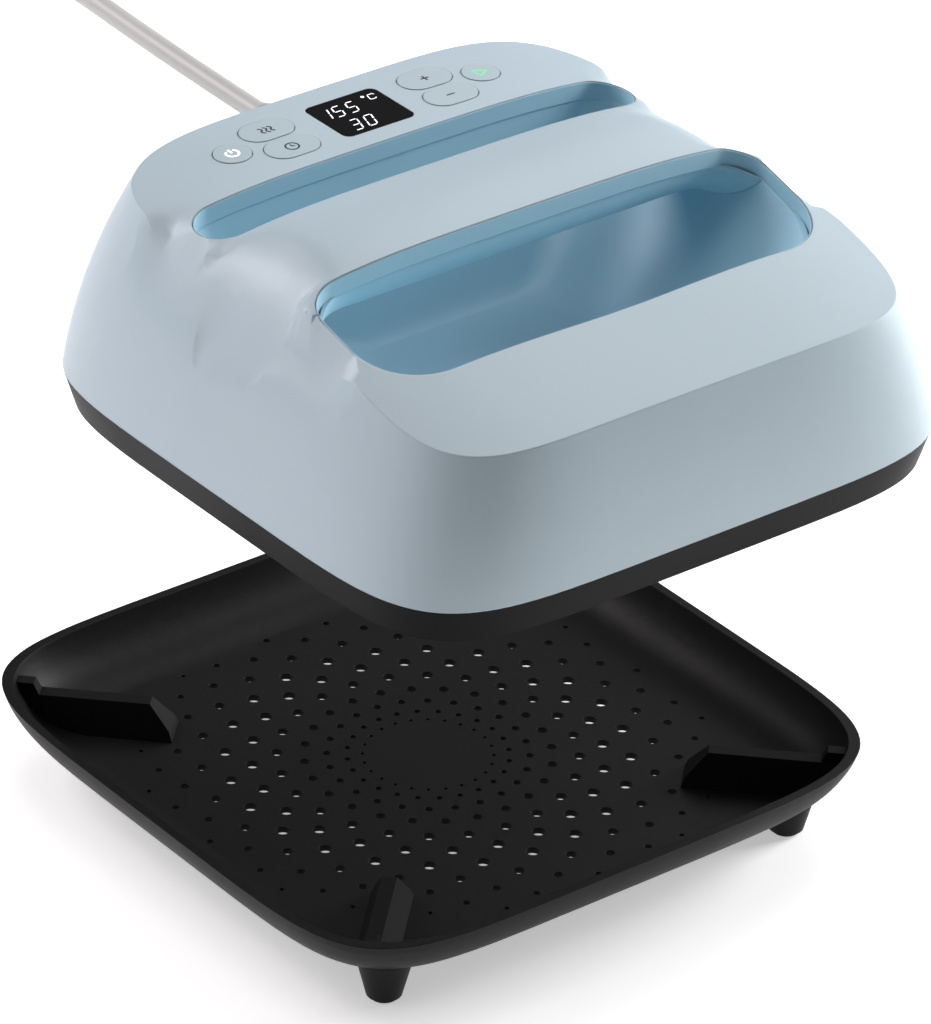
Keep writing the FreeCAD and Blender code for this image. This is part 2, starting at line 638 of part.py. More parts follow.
def make_sensors(sensor_screw, fuse_screws):
    """The thermistor under its clip, and the thermal fuse under its strap, both flat on the plate."""
    bead = rod_x(1.5, 0, PLATE_TOP + 1.5, -12, -2)
    clip = box(-6, 8, -4, 4, PLATE_TOP, 7.0).cut([bead, sensor_screw])
    save("thermistor", bead)
    save("thermistor_clip", clip)
    fuse = rod_x(2.0, 38, PLATE_TOP + 2.0, 26, 42)
    caps = [rod_x(0.7, 38, PLATE_TOP + 2.0, 16, 26), rod_x(0.7, 38, PLATE_TOP + 2.0, 42, 52)]
    save("thermal_fuse", fuse.fuse(caps))
    strap = box(18, 50, 35, 46.5, PLATE_TOP, 6.0).cut([fuse.fuse(caps)] + fuse_screws)
    save("fuse_strap", one(strap))


# ---------------------------------------------------------------- electronics on the floor

BOARD_TOP = MAIN_BOARD_Z + BOARD_T
TERMINAL_BLOCK = (60.0, 100.0, 12.0)


def make_electronics():
    board = box(-88, 88, 69, 112, MAIN_BOARD_Z, BOARD_TOP)
    screws = [rod(2.6, x, y, BOARD_TOP, BOARD_TOP + 1.9).fuse(rod(1.3, x, y, MAIN_BOARD_Z - 7, BOARD_TOP + 1))
              for x, y in BOARD_POSTS]
    pins = [rod(1.4, x, ELEMENT_HALF, 20, 32) for x in (-TERMINAL_X, TERMINAL_X)]
    ways = [rod(ELEMENT_R + 1.2, x, ELEMENT_HALF, 20, 32) for x in (-TERMINAL_X, TERMINAL_X)]
    save("main_board", board.cut(screws + ways))
    save("board_screws", *screws)
    core = box(-70, -34, 78, 102, BOARD_TOP, BOARD_TOP + 22)
    winding = box(-66, -38, 80.5, 99.5, BOARD_TOP + 22, BOARD_TOP + 26)
    save("power_transformer", core.fuse(winding))
    save("power_relay", box(-27, -8, 94, 109.5, BOARD_TOP, BOARD_TOP + 15.5))
    fins = box(10, 38, 103, 106, BOARD_TOP, BOARD_TOP + 28)
    for i in range(7):
        fins = fins.fuse(box(10 + 4.5 * i, 11 + 4.5 * i, 106, 111, BOARD_TOP, BOARD_TOP + 28))
    save("triac_heat_sink", fins)
    save("triac", box(19, 29, 98.5, 103, BOARD_TOP, BOARD_TOP + 16))
    x, y, h = TERMINAL_BLOCK
    save("terminal_block", box(x - 15, x + 15, y - 6, y + 6, BOARD_TOP, BOARD_TOP + h))
    save("filter_capacitor", box(44, 62, 77, 85, BOARD_TOP, BOARD_TOP + 15))
    save("storage_capacitor", rod(6.3, -5, 78, BOARD_TOP, BOARD_TOP + 16).fuse(rod(5.6, -5, 78, BOARD_TOP, BOARD_TOP + 16.6)))
    save("buzzer", rod(6.0, 30, 82, BOARD_TOP, BOARD_TOP + 8).cut(rod(1.2, 30, 82, BOARD_TOP + 6, BOARD_TOP + 9)))
    ribbon_y = 106.5
    plug = box(-48.5, -31.5, ribbon_y - 2.5, ribbon_y + 2.5, BOARD_TOP, BOARD_TOP + 6)
    socket = box(-48.5, -31.5, ribbon_y - 2.5, ribbon_y + 2.5, DISPLAY_BOARD_Z - 6, DISPLAY_BOARD_Z)
    save("ribbon_connectors", plug, socket)
    save("ribbon_cable", box(-48, -32, ribbon_y - 0.5, ribbon_y + 0.5, BOARD_TOP + 6, DISPLAY_BOARD_Z - 6))
    make_leads()


def make_leads():
    """Mains leads from the cord's end to the terminal block, and heater leads from there to the element."""
    x, y, h = TERMINAL_BLOCK
    top_z = BOARD_TOP + h
    mains = []
    for dx, lane, over, end in ((-1.9, 84, 58, -9), (1.9, 89, 62, -4)):
        points = [V(dx, CORD_START_Y, CORD_Z), V(dx, lane, CORD_Z), V(x + end, lane, over), V(x + end, y - 2, 54),
                  V(x + end, y - 2, top_z)]
        mains.append(tube(points, 1.2, [5.0, 5.0, 4.5]))
    save("mains_leads", *mains)
    heater = []
    for side, lane, over, end in ((-1, 90, 48, 4), (1, 84, 54, 9)):
        start = V(side * TERMINAL_X, ELEMENT_HALF, TERMINAL_TOP + 6)
        points = [start, V(start.x, start.y, over - 5), V(start.x + 8, lane, over), V(x + end, lane, over),
                  V(x + end, y - 2, 47), V(x + end, y - 2, top_z)]
        heater.append(tube(points, 1.1, [4.0, 4.0, 4.0, 3.5]))
    save("heater_leads", *heater)


# ---------------------------------------------------------------- cord

CORD_POINTS = [V(0, CORD_START_Y, CORD_Z), V(0, 190, CORD_Z), V(0, 318, 73.6), V(-4, 392, 49), V(-10, 437, -13),
               V(-14, 452, -77), V(-26, 457, -123), V(-52, 454, -151),
               V(-80, 452.2, TABLE_Z + CORD_R), V(-104, 452.2, TABLE_Z + CORD_R)]
PLUG_X = -93.0
PLUG_COLLAR = 16.0
PLUG_BODY = 24.0
PLUG_FACE = 6.0
BLADE_Y = 6.35
BLADE_T = 1.5
TAIL_Z = TABLE_Z + 3 * CORD_R


def make_cord():
    radii = bends(CORD_POINTS)
    print("cord bend radii", [round(r) for r in radii])
    lead = tube(CORD_POINTS, CORD_R, radii)
    length = route(CORD_POINTS, radii).Length
    filled = lead.Volume / (pi * CORD_R ** 2 * length)
    print("cord tube", round(length), "mm, volume / (section x length)", round(filled, 4))
    save("cord", lead)
    section = rounded_ring(COIL_R - 2 * CORD_R, COIL_R + 2 * CORD_R, TABLE_Z, TABLE_Z + 4 * CORD_R, CORD_R)
    turn_r = COIL_R + CORD_R
    arrive = Part.makeCylinder(CORD_R, CORD_POINTS[-1].x - COIL_AT.x, CORD_POINTS[-1], V(-1, 0, 0))
    leave = Part.makeCylinder(CORD_R, PLUG_X - COIL_AT.x, V(COIL_AT.x, COIL_AT.y - turn_r, TAIL_Z), V(1, 0, 0))
    save("cord_coil", section.fuse([arrive, leave]))
    make_plug(V(PLUG_X, COIL_AT.y - turn_r, TAIL_Z))
    outside = length - (RELIEF_END_Y - CORD_START_Y)
    put_away = CORD_LENGTH - outside - (PLUG_X - COIL_AT.x) - (CORD_POINTS[-1].x - COIL_AT.x)
    print("cord in the coil", round(put_away), "mm,", round(put_away / (2 * pi * COIL_R), 2), "turns")


def rounded_ring(r0, r1, z0, z1, r):
    """A ring with a rounded square section, about the coil's axis."""
    points = [V(r0, 0, z0), V(r1, 0, z0), V(r1, 0, z1), V(r0, 0, z1)]
    section = Part.Face(round_loop(points, [r - 0.01] * 4))
    ring = section.revolve(V(), V(0, 0, 1), 360)
    ring.translate(COIL_AT)
    return ring


def plug_face(x, at, half_y, half_z, r):
    points = [V(x, at.y + i * half_y, at.z + j * half_z) for i, j in ((-1, -1), (1, -1), (1, 1), (-1, 1))]
    return Part.Face(round_loop(points, [r] * 4))


def make_plug(at):
    """A two-pole and earth plug lying on the table, its blades pointing away from the coil."""
    collar = Part.makeCone(CORD_R + 0.9, CORD_R + 2.8, PLUG_COLLAR, at, V(1, 0, 0))
    collar = collar.cut(rod_x(CORD_R, at.y, at.z, at.x - 1, at.x + 12))
    half = at.z - TABLE_Z
    body = plug_face(at.x + PLUG_COLLAR, at, 13, half, 7.0).extrude(V(PLUG_BODY, 0, 0))
    face = plug_face(at.x + PLUG_COLLAR + PLUG_BODY, at, 11.5, half - 1.5, 6.0).extrude(V(PLUG_FACE, 0, 0))
    end = at.x + PLUG_COLLAR + PLUG_BODY + PLUG_FACE
    blades = []
    for side in (-1, 1):
        y = at.y + side * BLADE_Y
        blades.append(box(end - 6, end + 17.5, y - BLADE_T / 2, y + BLADE_T / 2, at.z - 0.2, at.z + 6.2))
    earth = rod_x(2.4, at.y, at.z - 6.5, end - 6, end + 20)
    save("cord_plug", collar.fuse([body, face]).cut(blades + [earth]))
    save("plug_pins", *blades, earth)


def make_relief():
    """The bend sleeve in the rear wall, and the clamp inside that takes a pull on the cord."""
    core = rod_y(RELIEF_R, 0, CORD_Z, RELIEF_Y - RELIEF_CORE, RELIEF_Y - 1.2)
    inside = rod_y(RELIEF_FLANGE_R, 0, CORD_Z, RELIEF_Y - RELIEF_CORE + 2, RELIEF_Y + 1).common(inner)
    outside = rod_y(RELIEF_FLANGE_R, 0, CORD_Z, RELIEF_Y - 7, RELIEF_Y).cut(outer)
    sleeve = Part.makeCone(RELIEF_R + 0.6, CORD_R + 0.7, RELIEF_END_Y - RELIEF_Y, V(0, RELIEF_Y, CORD_Z), V(0, 1, 0))
    relief = core.fuse([inside, outside, sleeve]).cut(rod_y(CORD_R, 0, CORD_Z, CLAMP_Y0, RELIEF_END_Y + 1))
    block = box(-CLAMP_HALF, CLAMP_HALF, CLAMP_Y0, RELIEF_Y - 5.8, CORD_Z, CORD_Z + CLAMP_T + 1)
    room = block.cut(rod_y(RELIEF_R, 0, CORD_Z, RELIEF_Y - RELIEF_CORE, RELIEF_Y + 1))
    save("strain_relief", one(relief.cut(room)))
    bar = box(-CLAMP_HALF, CLAMP_HALF, CLAMP_Y0, CLAMP_Y1, CORD_Z - CLAMP_T, CORD_Z)
    screws = []
    for x in CLAMP_SCREWS:
        head = rod(2.6, x, CLAMP_SCREW_Y, CORD_Z - CLAMP_T - 1.8, CORD_Z - CLAMP_T)
        screws.append(head.fuse(rod(1.4, x, CLAMP_SCREW_Y, CORD_Z - CLAMP_T - 1, CORD_Z + 6.5)))
    save("cord_clamp", bar.cut(screws + [rod_y(CORD_R, 0, CORD_Z, CLAMP_Y0 - 4, RELIEF_Y - 3)]))
    save("cord_clamp_screws", *screws)


# ---------------------------------------------------------------- base

# Heights and half widths of the tray's curved sides.
TRAY_INSIDE = ((FLOOR_Z, FLOOR_HALF), (19.0, 110.8), (22.0, 117.3), (27.0, 122.2), (33.0, 125.5),
               (RIM_Z, RIM_HALF - RIM_W))
TRAY_OUTSIDE = ((FLOOR_Z - TRAY_T, FLOOR_HALF + 1.0), (16.9, 113.2), (20.5, 120.6), (26.0, 125.7), (32.0, 129.0),
                (RIM_Z, RIM_HALF))


def tray_block(rows):
    return loft([squircle(half, half, RIM_POWER, z) for z, half in rows])


tray_room = tray_block(TRAY_INSIDE)


def hole_places():
    """Centres and radii of the vent holes: rings turned half a step against each other, kept to the flat floor."""
    places = []
    for row, (reach, r) in enumerate(HOLE_RINGS):
        for i in range(HOLES_PER_RING):
            angle = 2 * pi * (i + 0.5 * ((row + 1) % 2) + HOLE_TURN) / HOLES_PER_RING
            x, y = reach * cos(angle), reach * sin(angle)
            on_floor = (abs(x) ** RIM_POWER + abs(y) ** RIM_POWER) ** (1 / RIM_POWER) < FLOOR_HALF - r
            off_line = abs(abs(x) - abs(y)) / sqrt(2)
            under_cradle = reach > CRADLE_NOSE - 6 and off_line < CRADLE_FOOT_T / 2 + r
            if on_floor and not under_cradle:
                places.append((x, y, r))
    return places


CORNERS = ((45, 1, 1), (135, -1, 1), (225, -1, -1), (315, 1, -1))


def cradle(degrees):
    """A fin along the diagonal: a nose on the floor, a flat rest for the hot plate and a stop for the press's corner."""
    end = CRADLE_STOP + 16
    slope = 2.2
    points = [V(CRADLE_NOSE, 0, FLOOR_Z), V(CRADLE_NOSE + 1.5, 0, FLOOR_Z + 4), V(CRADLE_FLAT, 0, LEDGE_TOP),
              V(CRADLE_STOP, 0, LEDGE_TOP), V(CRADLE_STOP + slope, 0, STOP_TOP), V(CRADLE_STOP + 9.5, 0, STOP_TOP),
              V(end, 0, STOP_TOP - 2), V(end, 0, FLOOR_Z), V(CRADLE_NOSE, 0, FLOOR_Z)]
    fin = Part.Face(Part.makePolygon(points)).extrude(V(0, CRADLE_FOOT_T, 0))
    fin.translate(V(0, -CRADLE_FOOT_T / 2, 0))
    wide, narrow = CRADLE_FOOT_T / 2, CRADLE_T / 2
    cheeks = [V(0, -wide, FLOOR_Z), V(0, wide, FLOOR_Z), V(0, narrow, LEDGE_TOP), V(0, narrow - 0.6, STOP_TOP + 2),
              V(0, 0.6 - narrow, STOP_TOP + 2), V(0, -narrow, LEDGE_TOP), V(0, -wide, FLOOR_Z)]
    wedge = Part.Face(Part.makePolygon(cheeks)).extrude(V(end + 5, 0, 0))
    fin = around(fin.common(wedge), degrees)
    x, y = CRADLE_SCREW * cos(radians(degrees)), CRADLE_SCREW * sin(radians(degrees))
    return one(fin.common(tray_room).cut(rod(1.4, x, y, FLOOR_Z - 1, FLOOR_Z + 7)))


def make_base():
    tray = tray_block(TRAY_OUTSIDE)
    feet, pads = [], []
    for degrees, i, j in CORNERS:
        x, y = i * FOOT_AT[0], j * FOOT_AT[1]
        leg = Part.makeCone(FOOT_R, FOOT_TOP_R, FLOOR_Z - PAD_PROUD, V(x, y, PAD_PROUD))
        feet.append(leg.fuse(rod(FOOT_TOP_R, x, y, FLOOR_Z - 0.01, FLOOR_Z + 4)))
        pads.append(rod(FOOT_R - 1.6, x, y, 0, 2.6))
    tray = tray.fuse(feet)
    screws = []
    under = FLOOR_Z - TRAY_T
    for degrees, i, j in CORNERS:
        x, y = CRADLE_SCREW * cos(radians(degrees)), CRADLE_SCREW * sin(radians(degrees))
        screws.append(rod(2.8, x, y, under - 2, under).fuse(rod(1.4, x, y, under - 1, FLOOR_Z + 7)))
    holes = [rod(r, x, y, under - 1, FLOOR_Z + 1) for x, y, r in hole_places()]
    tray = one(tray.cut([tray_room] + pads))
    tray = one(tray.cut(screws))
    save("base_tray", one(tray.cut(Part.makeCompound(holes))), base=True)
    save("foot_pads", *pads, base=True)
    save("cradle_screws", *screws, base=True)
    for name, (degrees, i, j) in zip(("rear_right", "rear_left", "front_left", "front_right"), CORNERS):
        save("cradle_" + name, cradle(degrees), base=True)


make_upper_housing()
make_liner()
make_underside()
make_buttons()
make_display()
make_lower_housing()
make_plate()
make_electronics()
make_relief()
make_cord()
make_base()
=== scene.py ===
import json
from math import cos, exp, pi, radians, sin

import bmesh
import bpy
from bpy.props import FloatProperty, FloatVectorProperty, PointerProperty
from mathutils import Matrix, Vector
from mathutils.bvhtree import BVHTree


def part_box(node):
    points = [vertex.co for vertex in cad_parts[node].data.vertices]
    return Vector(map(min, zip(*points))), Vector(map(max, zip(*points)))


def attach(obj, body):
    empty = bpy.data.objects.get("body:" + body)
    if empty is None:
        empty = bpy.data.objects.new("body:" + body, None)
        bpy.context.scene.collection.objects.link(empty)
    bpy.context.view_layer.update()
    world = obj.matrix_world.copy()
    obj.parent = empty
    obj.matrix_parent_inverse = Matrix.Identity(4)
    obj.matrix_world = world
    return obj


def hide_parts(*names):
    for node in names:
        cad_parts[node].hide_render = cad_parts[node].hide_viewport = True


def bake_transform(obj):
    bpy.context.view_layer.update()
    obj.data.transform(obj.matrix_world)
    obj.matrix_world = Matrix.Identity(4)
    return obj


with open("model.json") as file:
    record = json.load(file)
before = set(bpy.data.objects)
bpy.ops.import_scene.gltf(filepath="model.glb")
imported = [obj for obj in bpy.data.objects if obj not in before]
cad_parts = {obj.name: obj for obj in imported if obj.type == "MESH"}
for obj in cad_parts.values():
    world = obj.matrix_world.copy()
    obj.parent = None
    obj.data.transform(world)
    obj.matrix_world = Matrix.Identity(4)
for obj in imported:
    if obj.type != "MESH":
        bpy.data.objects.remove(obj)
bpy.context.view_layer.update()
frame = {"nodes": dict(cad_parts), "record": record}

bl_info = {
    "name": "Handheld heat press",
    "version": (1, 0, 0),
    "blender": (4, 5, 0),
    "location": "View3D > Sidebar > Press",
    "description": "Builds the surfaces, keys, display and cord of a handheld heat press",
    "category": "Add Mesh",
}

NODES = frame["nodes"]
SLOTS = {part["node"]: part["material_slot"] for part in frame["record"]["subparts"]}
BODY_OF = {n: body for body, group in frame["record"]["behaviour"]["bodies"].items() for n in group}
MM = 0.001

# The grip's middle, where the frame has its origin, in millimetres from the middle of the press's lower edge.
GRIP = Vector((0, 10, 87))


def at(x, y, z):
    """A place given in millimetres from the middle of the press's lower edge, in the row frame."""
    return (Vector((x, y, z)) - GRIP) * MM


def linear(hexed):
    """An sRGB hex colour as linear red, green, blue."""
    steps = [int(hexed[i : i + 2], 16) / 255 for i in (1, 3, 5)]
    return [c / 12.92 if c <= 0.04045 else ((c + 0.055) / 1.055) ** 2.4 for c in steps]


# ---------------------------------------------------------------- nodes and materials


def node(tree, kind, inputs=None, **settings):
    """Adds one node. Each input is a value, or the socket that feeds it."""
    made = tree.nodes.new(kind)
    for key, value in settings.items():
        setattr(made, key, value)
    for key, value in (inputs or {}).items():
        if isinstance(value, bpy.types.NodeSocket):
            tree.links.new(value, made.inputs[key])
        else:
            made.inputs[key].default_value = value
    return made


def blank(name, colour, roughness, **constants):
    """A material with one Principled shader, its constants set on the shader's own sockets."""
    material = bpy.data.materials.new(name)
    material.use_nodes = True
    tree = material.node_tree
    tree.nodes.clear()
    shader = node(tree, "ShaderNodeBsdfPrincipled", {"Base Color": [*colour, 1], "Roughness": roughness})
    for key, value in constants.items():
        shader.inputs[key.replace("_", " ")].default_value = value
    node(tree, "ShaderNodeOutputMaterial", {"Surface": shader.outputs[0]})
    material.diffuse_color = [*colour, 1]
    return material, tree, shader


def noise(tree, size_mm, detail=2.0, stretch=(1, 1, 1), rough=0.5):
    """Noise on Object coordinates whose lumps are about size_mm across."""
    place = node(tree, "ShaderNodeTexCoord").outputs["Object"]
    if tuple(stretch) != (1, 1, 1):
        place = node(tree, "ShaderNodeMapping", {"Vector": place, "Scale": stretch}).outputs[0]
    inputs = {"Vector": place, "Scale": 1 / (size_mm * MM), "Detail": detail, "Roughness": rough}
    return node(tree, "ShaderNodeTexNoise", inputs).outputs["Fac"]


# Nearly all of a noise texture's values lie between these.
NOISE_LOW = 0.3
NOISE_HIGH = 0.7


def shade(tree, shader, fac, colour, spread):
    """Varies the shader's colour a little, darker and lighter, with fac."""
    ramp = node(tree, "ShaderNodeValToRGB", {"Fac": fac})
    dark, light = ramp.color_ramp.elements
    dark.position, light.position = NOISE_LOW, NOISE_HIGH
    dark.color = [*(c * (1 - spread) for c in colour), 1]
    light.color = [*(min(1, c * (1 + spread)) for c in colour), 1]
    tree.links.new(ramp.outputs["Color"], shader.inputs["Base Color"])


def gloss(tree, shader, fac, low, high):
    """Varies the shader's roughness between low and high with fac."""
    spread = node(tree, "ShaderNodeMapRange", {"Value": fac, "From Min": NOISE_LOW, "From Max": NOISE_HIGH,
                                               "To Min": low, "To Max": high})
    tree.links.new(spread.outputs["Result"], shader.inputs["Roughness"])


def relief(tree, shader, fac, depth_mm, edge_mm=0.0):
    """Raises the surface by fac, over softened edges where edge_mm is given."""
    inputs = {"Height": fac, "Distance": depth_mm * MM, "Strength": 1.0}
    if edge_mm:
        soft = node(tree, "ShaderNodeBevel", {"Radius": edge_mm * MM}, samples=6)
        inputs["Normal"] = soft.outputs["Normal"]
    bump = node(tree, "ShaderNodeBump", inputs)
    tree.links.new(bump.outputs["Normal"], shader.inputs["Normal"])


def moulded(name, colour, roughness, grain_mm, depth_mm, spread=0.02, edge_mm=0.0, **constants):
    """Injection-moulded plastic: a spark-eroded grain, and a faint uneven sheen where the melt cooled.

    A real grain of about 0.1 mm is too fine to show, so grain_mm is never under 0.3.
    """
    material, tree, shader = blank(name, colour, roughness, **constants)
    flow = noise(tree, size_mm=60, detail=1.0)
    shade(tree, shader, flow, colour, spread)
    gloss(tree, shader, flow, low=roughness - 0.03, high=roughness + 0.03)
    relief(tree, shader, noise(tree, grain_mm, detail=3.0), depth_mm, edge_mm)
    return material


def metal(name, colour, roughness, stretch=(1, 1, 1), grain_mm=0.4, depth_mm=0.004):
    """Bare metal: fine marks of its rolling or turning, along stretch's small axis."""
    material, tree, shader = blank(name, colour, roughness, Metallic=1.0)
    marks = noise(tree, grain_mm, detail=4.0, stretch=stretch)
    shade(tree, shader, noise(tree, size_mm=9), colour, spread=0.06)
    gloss(tree, shader, marks, low=roughness - 0.08, high=roughness + 0.08)
    relief(tree, shader, marks, depth_mm)
    return material


def lit(name, colour, strength):
    """A light guide's face, lit from behind: it glows evenly in its own colour."""
    material, _, shader = blank(name, colour, roughness=0.4)
    shader.inputs["Emission Color"].default_value = [*colour, 1]
    shader.inputs["Emission Strength"].default_value = strength
    return material


def circuit_board():
    """FR4 board under a green solder mask: glossy, with the copper tracks showing through paler."""
    green, copper = linear("#0f4a2a"), linear("#2c7042")
    material, tree, shader = blank("solder_masked_board", green, roughness=0.3, IOR=1.5)
    place = node(tree, "ShaderNodeTexCoord").outputs["Object"]
    tracks = node(tree, "ShaderNodeTexBrick", {
        "Vector": place, "Scale": 1 / (6 * MM), "Mortar Size": 0.03,
        "Color1": [*green, 1], "Color2": [*green, 1], "Mortar": [*copper, 1]})
    tree.links.new(tracks.outputs["Color"], shader.inputs["Base Color"])
    relief(tree, shader, tracks.outputs["Fac"], depth_mm=0.035)
    return material


def fibre_blanket():
    """Needled ceramic fibre: matt off-white with tangled threads.

    The real threads are far too fine to show, so they are drawn about a millimetre wide.
    """
    colour = linear("#ded9cf")
    material, tree, shader = blank("needled_fibre_blanket", colour, roughness=0.95,
                                   Sheen_Weight=0.3, Sheen_Roughness=0.6)
    threads = noise(tree, size_mm=1.2, detail=6.0, stretch=(1, 0.25, 1), rough=0.7)
    shade(tree, shader, threads, colour, spread=0.12)
    relief(tree, shader, threads, depth_mm=0.5)
    return material


def make_materials(looks):
    """One material for each slot of the record.

    The numbers after a plastic's colour are its roughness, the width and depth of its grain in millimetres,
    how much its colour varies, and the radius that the mould leaves on its edges. A metal's are its
    roughness, the stretch of its marks, and their width and depth.
    """
    blue, liner = tuple(looks.housing_blue), tuple(looks.liner_blue)
    return {
        # Moulded ABS with a fine satin grain: soft broad highlights, edges rounded by the mould.
        "housing_blue": moulded("moulded_abs_pale_blue", blue, 0.42, 0.45, 0.006, 0.015, 0.9, IOR=1.5),
        "liner_blue": moulded("moulded_abs_mid_blue", liner, 0.40, 0.45, 0.006, 0.02, 0.7, IOR=1.5),
        # The same ABS from a smoother mould: a slightly sharper sheen than the housing's.
        "key_blue": moulded("moulded_abs_key_caps", tuple(looks.key_blue), 0.34, 0.4, 0.004, 0.01, 0.25,
                            IOR=1.5),
        # Heat-resistant nylon: dull black, barely lighter where it catches the light.
        "black_plastic": moulded("moulded_nylon_black", linear("#08090a"), 0.45, 0.5, 0.01, 0.06, 0.5,
                                 Specular_IOR_Level=0.08),
        # Mineral-filled nylon from a coarse-textured mould: matt, with a visible fine pebble.
        "tray_black": moulded("textured_nylon_tray", tuple(looks.tray_black), 0.5, 0.8, 0.035, 0.08, 0.5,
                              Specular_IOR_Level=0.15),
        # Moulded rests: matt, and almost as black as the tray, without its pebble.
        "cradle_grey": moulded("moulded_rest_warm_grey", linear("#080808"), 0.6, 0.7, 0.02, 0.08, 0.5,
                               Specular_IOR_Level=0.12),
        # Ceramic-coated cast aluminium sole: smooth satin metal.
        "plate_metal": metal("coated_aluminium_sole", linear("#b9babd"), 0.3, (1, 0.2, 1), 0.6, 0.003),
        # Zinc-plated screws, studs and nuts: bright grey, with small crisp highlights.
        "steel": metal("zinc_plated_steel", linear("#b6b7b9"), 0.32),
        # The heater's drawn tube, once heated: a dull brownish grey.
        "element_steel": metal("heater_tube_steel", linear("#8c857f"), 0.45, (1, 1, 1), 0.8, 0.01),
        # Hot-dipped sheet: light grey, its crystals just to be seen as patches of another sheen.
        "galvanised": metal("galvanised_sheet", linear("#c0c2c4"), 0.4, (1, 1, 1), 3.0, 0.01),
        # Stamped blades under thin nickel: pale yellow metal, the glossiest metal here.
        "brass": metal("nickelled_brass_pins", linear("#c9b27a"), 0.25, (0.2, 1, 1), 0.5, 0.003),
        # Extruded aluminium, dyed black: dark metal with a soft sheen along its fins.
        "heat_sink_black": metal("black_anodised_aluminium", linear("#2a2a2c"), 0.45, (1, 1, 0.2),
                                 0.6, 0.006),
        "board_green": circuit_board(),
        "blanket_white": fibre_blanket(),
        # Fired steatite: matt white, faintly speckled.
        "ceramic_white": moulded("fired_steatite", linear("#e4e2da"), 0.55, 0.3, 0.01, 0.05),
        # Silicone rubber: near black and matt, with no clear highlight.
        "silicone_black": moulded("moulded_silicone_black", linear("#161616"), 0.6, 0.5, 0.01, 0.08, 0.2,
                                  IOR=1.41),
        # Moulded and taped cases on the board: even colours, a little glossier than the lower housing.
        "component_black": moulded("epoxy_case_black", linear("#18181a"), 0.45, 0.4, 0.01, 0.08),
        "component_yellow": moulded("polyester_tape_yellow", linear("#d1aa3a"), 0.35, 2.5, 0.01, 0.05),
        "relay_blue": moulded("relay_case_blue", linear("#2a5f9e"), 0.3, 0.6, 0.005, 0.04),
        "terminal_green": moulded("polyamide_terminal_green", linear("#2f7a4c"), 0.45, 0.6, 0.01, 0.04),
        # Black-backed acrylic window, polished: nothing shows but sharp reflections and what is lit.
        "display_glass": moulded("polished_acrylic_window", linear("#050506"), 0.08, 6.0, 0.0008, 0.0, 0.15,
                                 IOR=1.49),
        # Extruded PVC sheath: satin, with the faint lengthwise unevenness of the cores under it.
        "cord_grey": moulded("extruded_pvc_sheath", tuple(looks.cord_grey), 0.42, 2.2, 0.02, 0.03, IOR=1.52),
        # Insulated leads and ribbon: dull, strong colours with a soft line of light along them.
        "lead_red": moulded("silicone_insulated_lead", linear("#a83228"), 0.5, 1.2, 0.02, 0.05),
        "lead_brown": moulded("pvc_insulated_lead", linear("#6b4226"), 0.45, 1.2, 0.02, 0.05),
        "ribbon_grey": moulded("ribbon_cable_pvc", linear("#a6a7ab"), 0.45, 1.27, 0.05, 0.05),
        # Screen-printed ink: a flat matt dark grey on the keys.
        "print_dark": moulded("screen_print_dark_grey", tuple(looks.print_dark), 0.5, 0.3, 0.002, 0.02),
        "icon_white": lit("light_guide_white", linear("#ffffff"), 1.1),
        "icon_green": lit("light_guide_green", linear("#12d868"), 1.0),
        "digit_white": lit("display_segment_white", linear("#f2f5ff"), 0.95),
    }


MATERIALS = {}


# ---------------------------------------------------------------- meshes

# Corners closer than this are one, shorter edges are gone, and steeper folds stay crisp.
MERGE = 2e-6
SLIVER = 1e-7
CREASE = radians(32)

# The openings seen from above, in millimetres: the slot has round ends, the front opening is taken as a
# rectangle. A box is a half width with a nearest and a furthest y: an opening's walls lie inside its box, and
# no height is taken inside SLOT_BOX and FRONT_HOLE.
SLOT_Y = 49.75
SLOT_END = 87.2
SLOT_R = 12.75
SLOT_BOX = (101, 36, 64)
FRONT_Y = -46
FRONT_HALF = 103
FRONT_NEAR = -76
FRONT_FAR = -16
FRONT_BOX = (106, -90, 0)
FRONT_HOLE = (105, -79, -14)

# The band that lines each opening: how far its top lies under the rim, its gap, its lap, its thickness, the
# height above which the rims lie, and the upward tilts that part the walls from the surface beyond the rim.
RIM_LIP = 0.35 * MM
LINING_GAP = 0.25 * MM
LINING_LAP = 1.0 * MM
LINING_T = 0.4 * MM
LINING_CREASE = radians(40)
LOWEST_RIM = 60
WALL_TILT = 0.3
RIM_TILT = 0.2

# The grid of heights that softens the shoulders, and the places between which its pull comes in and goes out.
GRID_STEP = 3.0
GRID_START = (66, -66)
GRID_COUNT = (27, 52)
SOFT_REACH = 8.0
SOFT_CELLS = 7
SOFT_X = (78, 90, 112, 122)
SOFT_Y = (-57, -40, 60, 76)
SOFT_FROM_SLOT = (0.5, 8)
SOFT_FROM_FRONT = (0.5, 5)
WALL_DEEP = 9.0
ABOVE_ALL = 200
DOWN = Vector((0, 0, -1))


def flat_object(name, mesh):
    """An object at the origin, unturned and unscaled."""
    made = bpy.data.objects.new(name, mesh)
    bpy.context.scene.collection.objects.link(made)
    return made


def settled(made):
    """Turns an object's live modifiers into its plain mesh."""
    bpy.context.view_layer.update()
    evaluated = made.evaluated_get(bpy.context.evaluated_depsgraph_get())
    mesh = bpy.data.meshes.new_from_object(evaluated)
    made.modifiers.clear()
    made.data = mesh
    return made


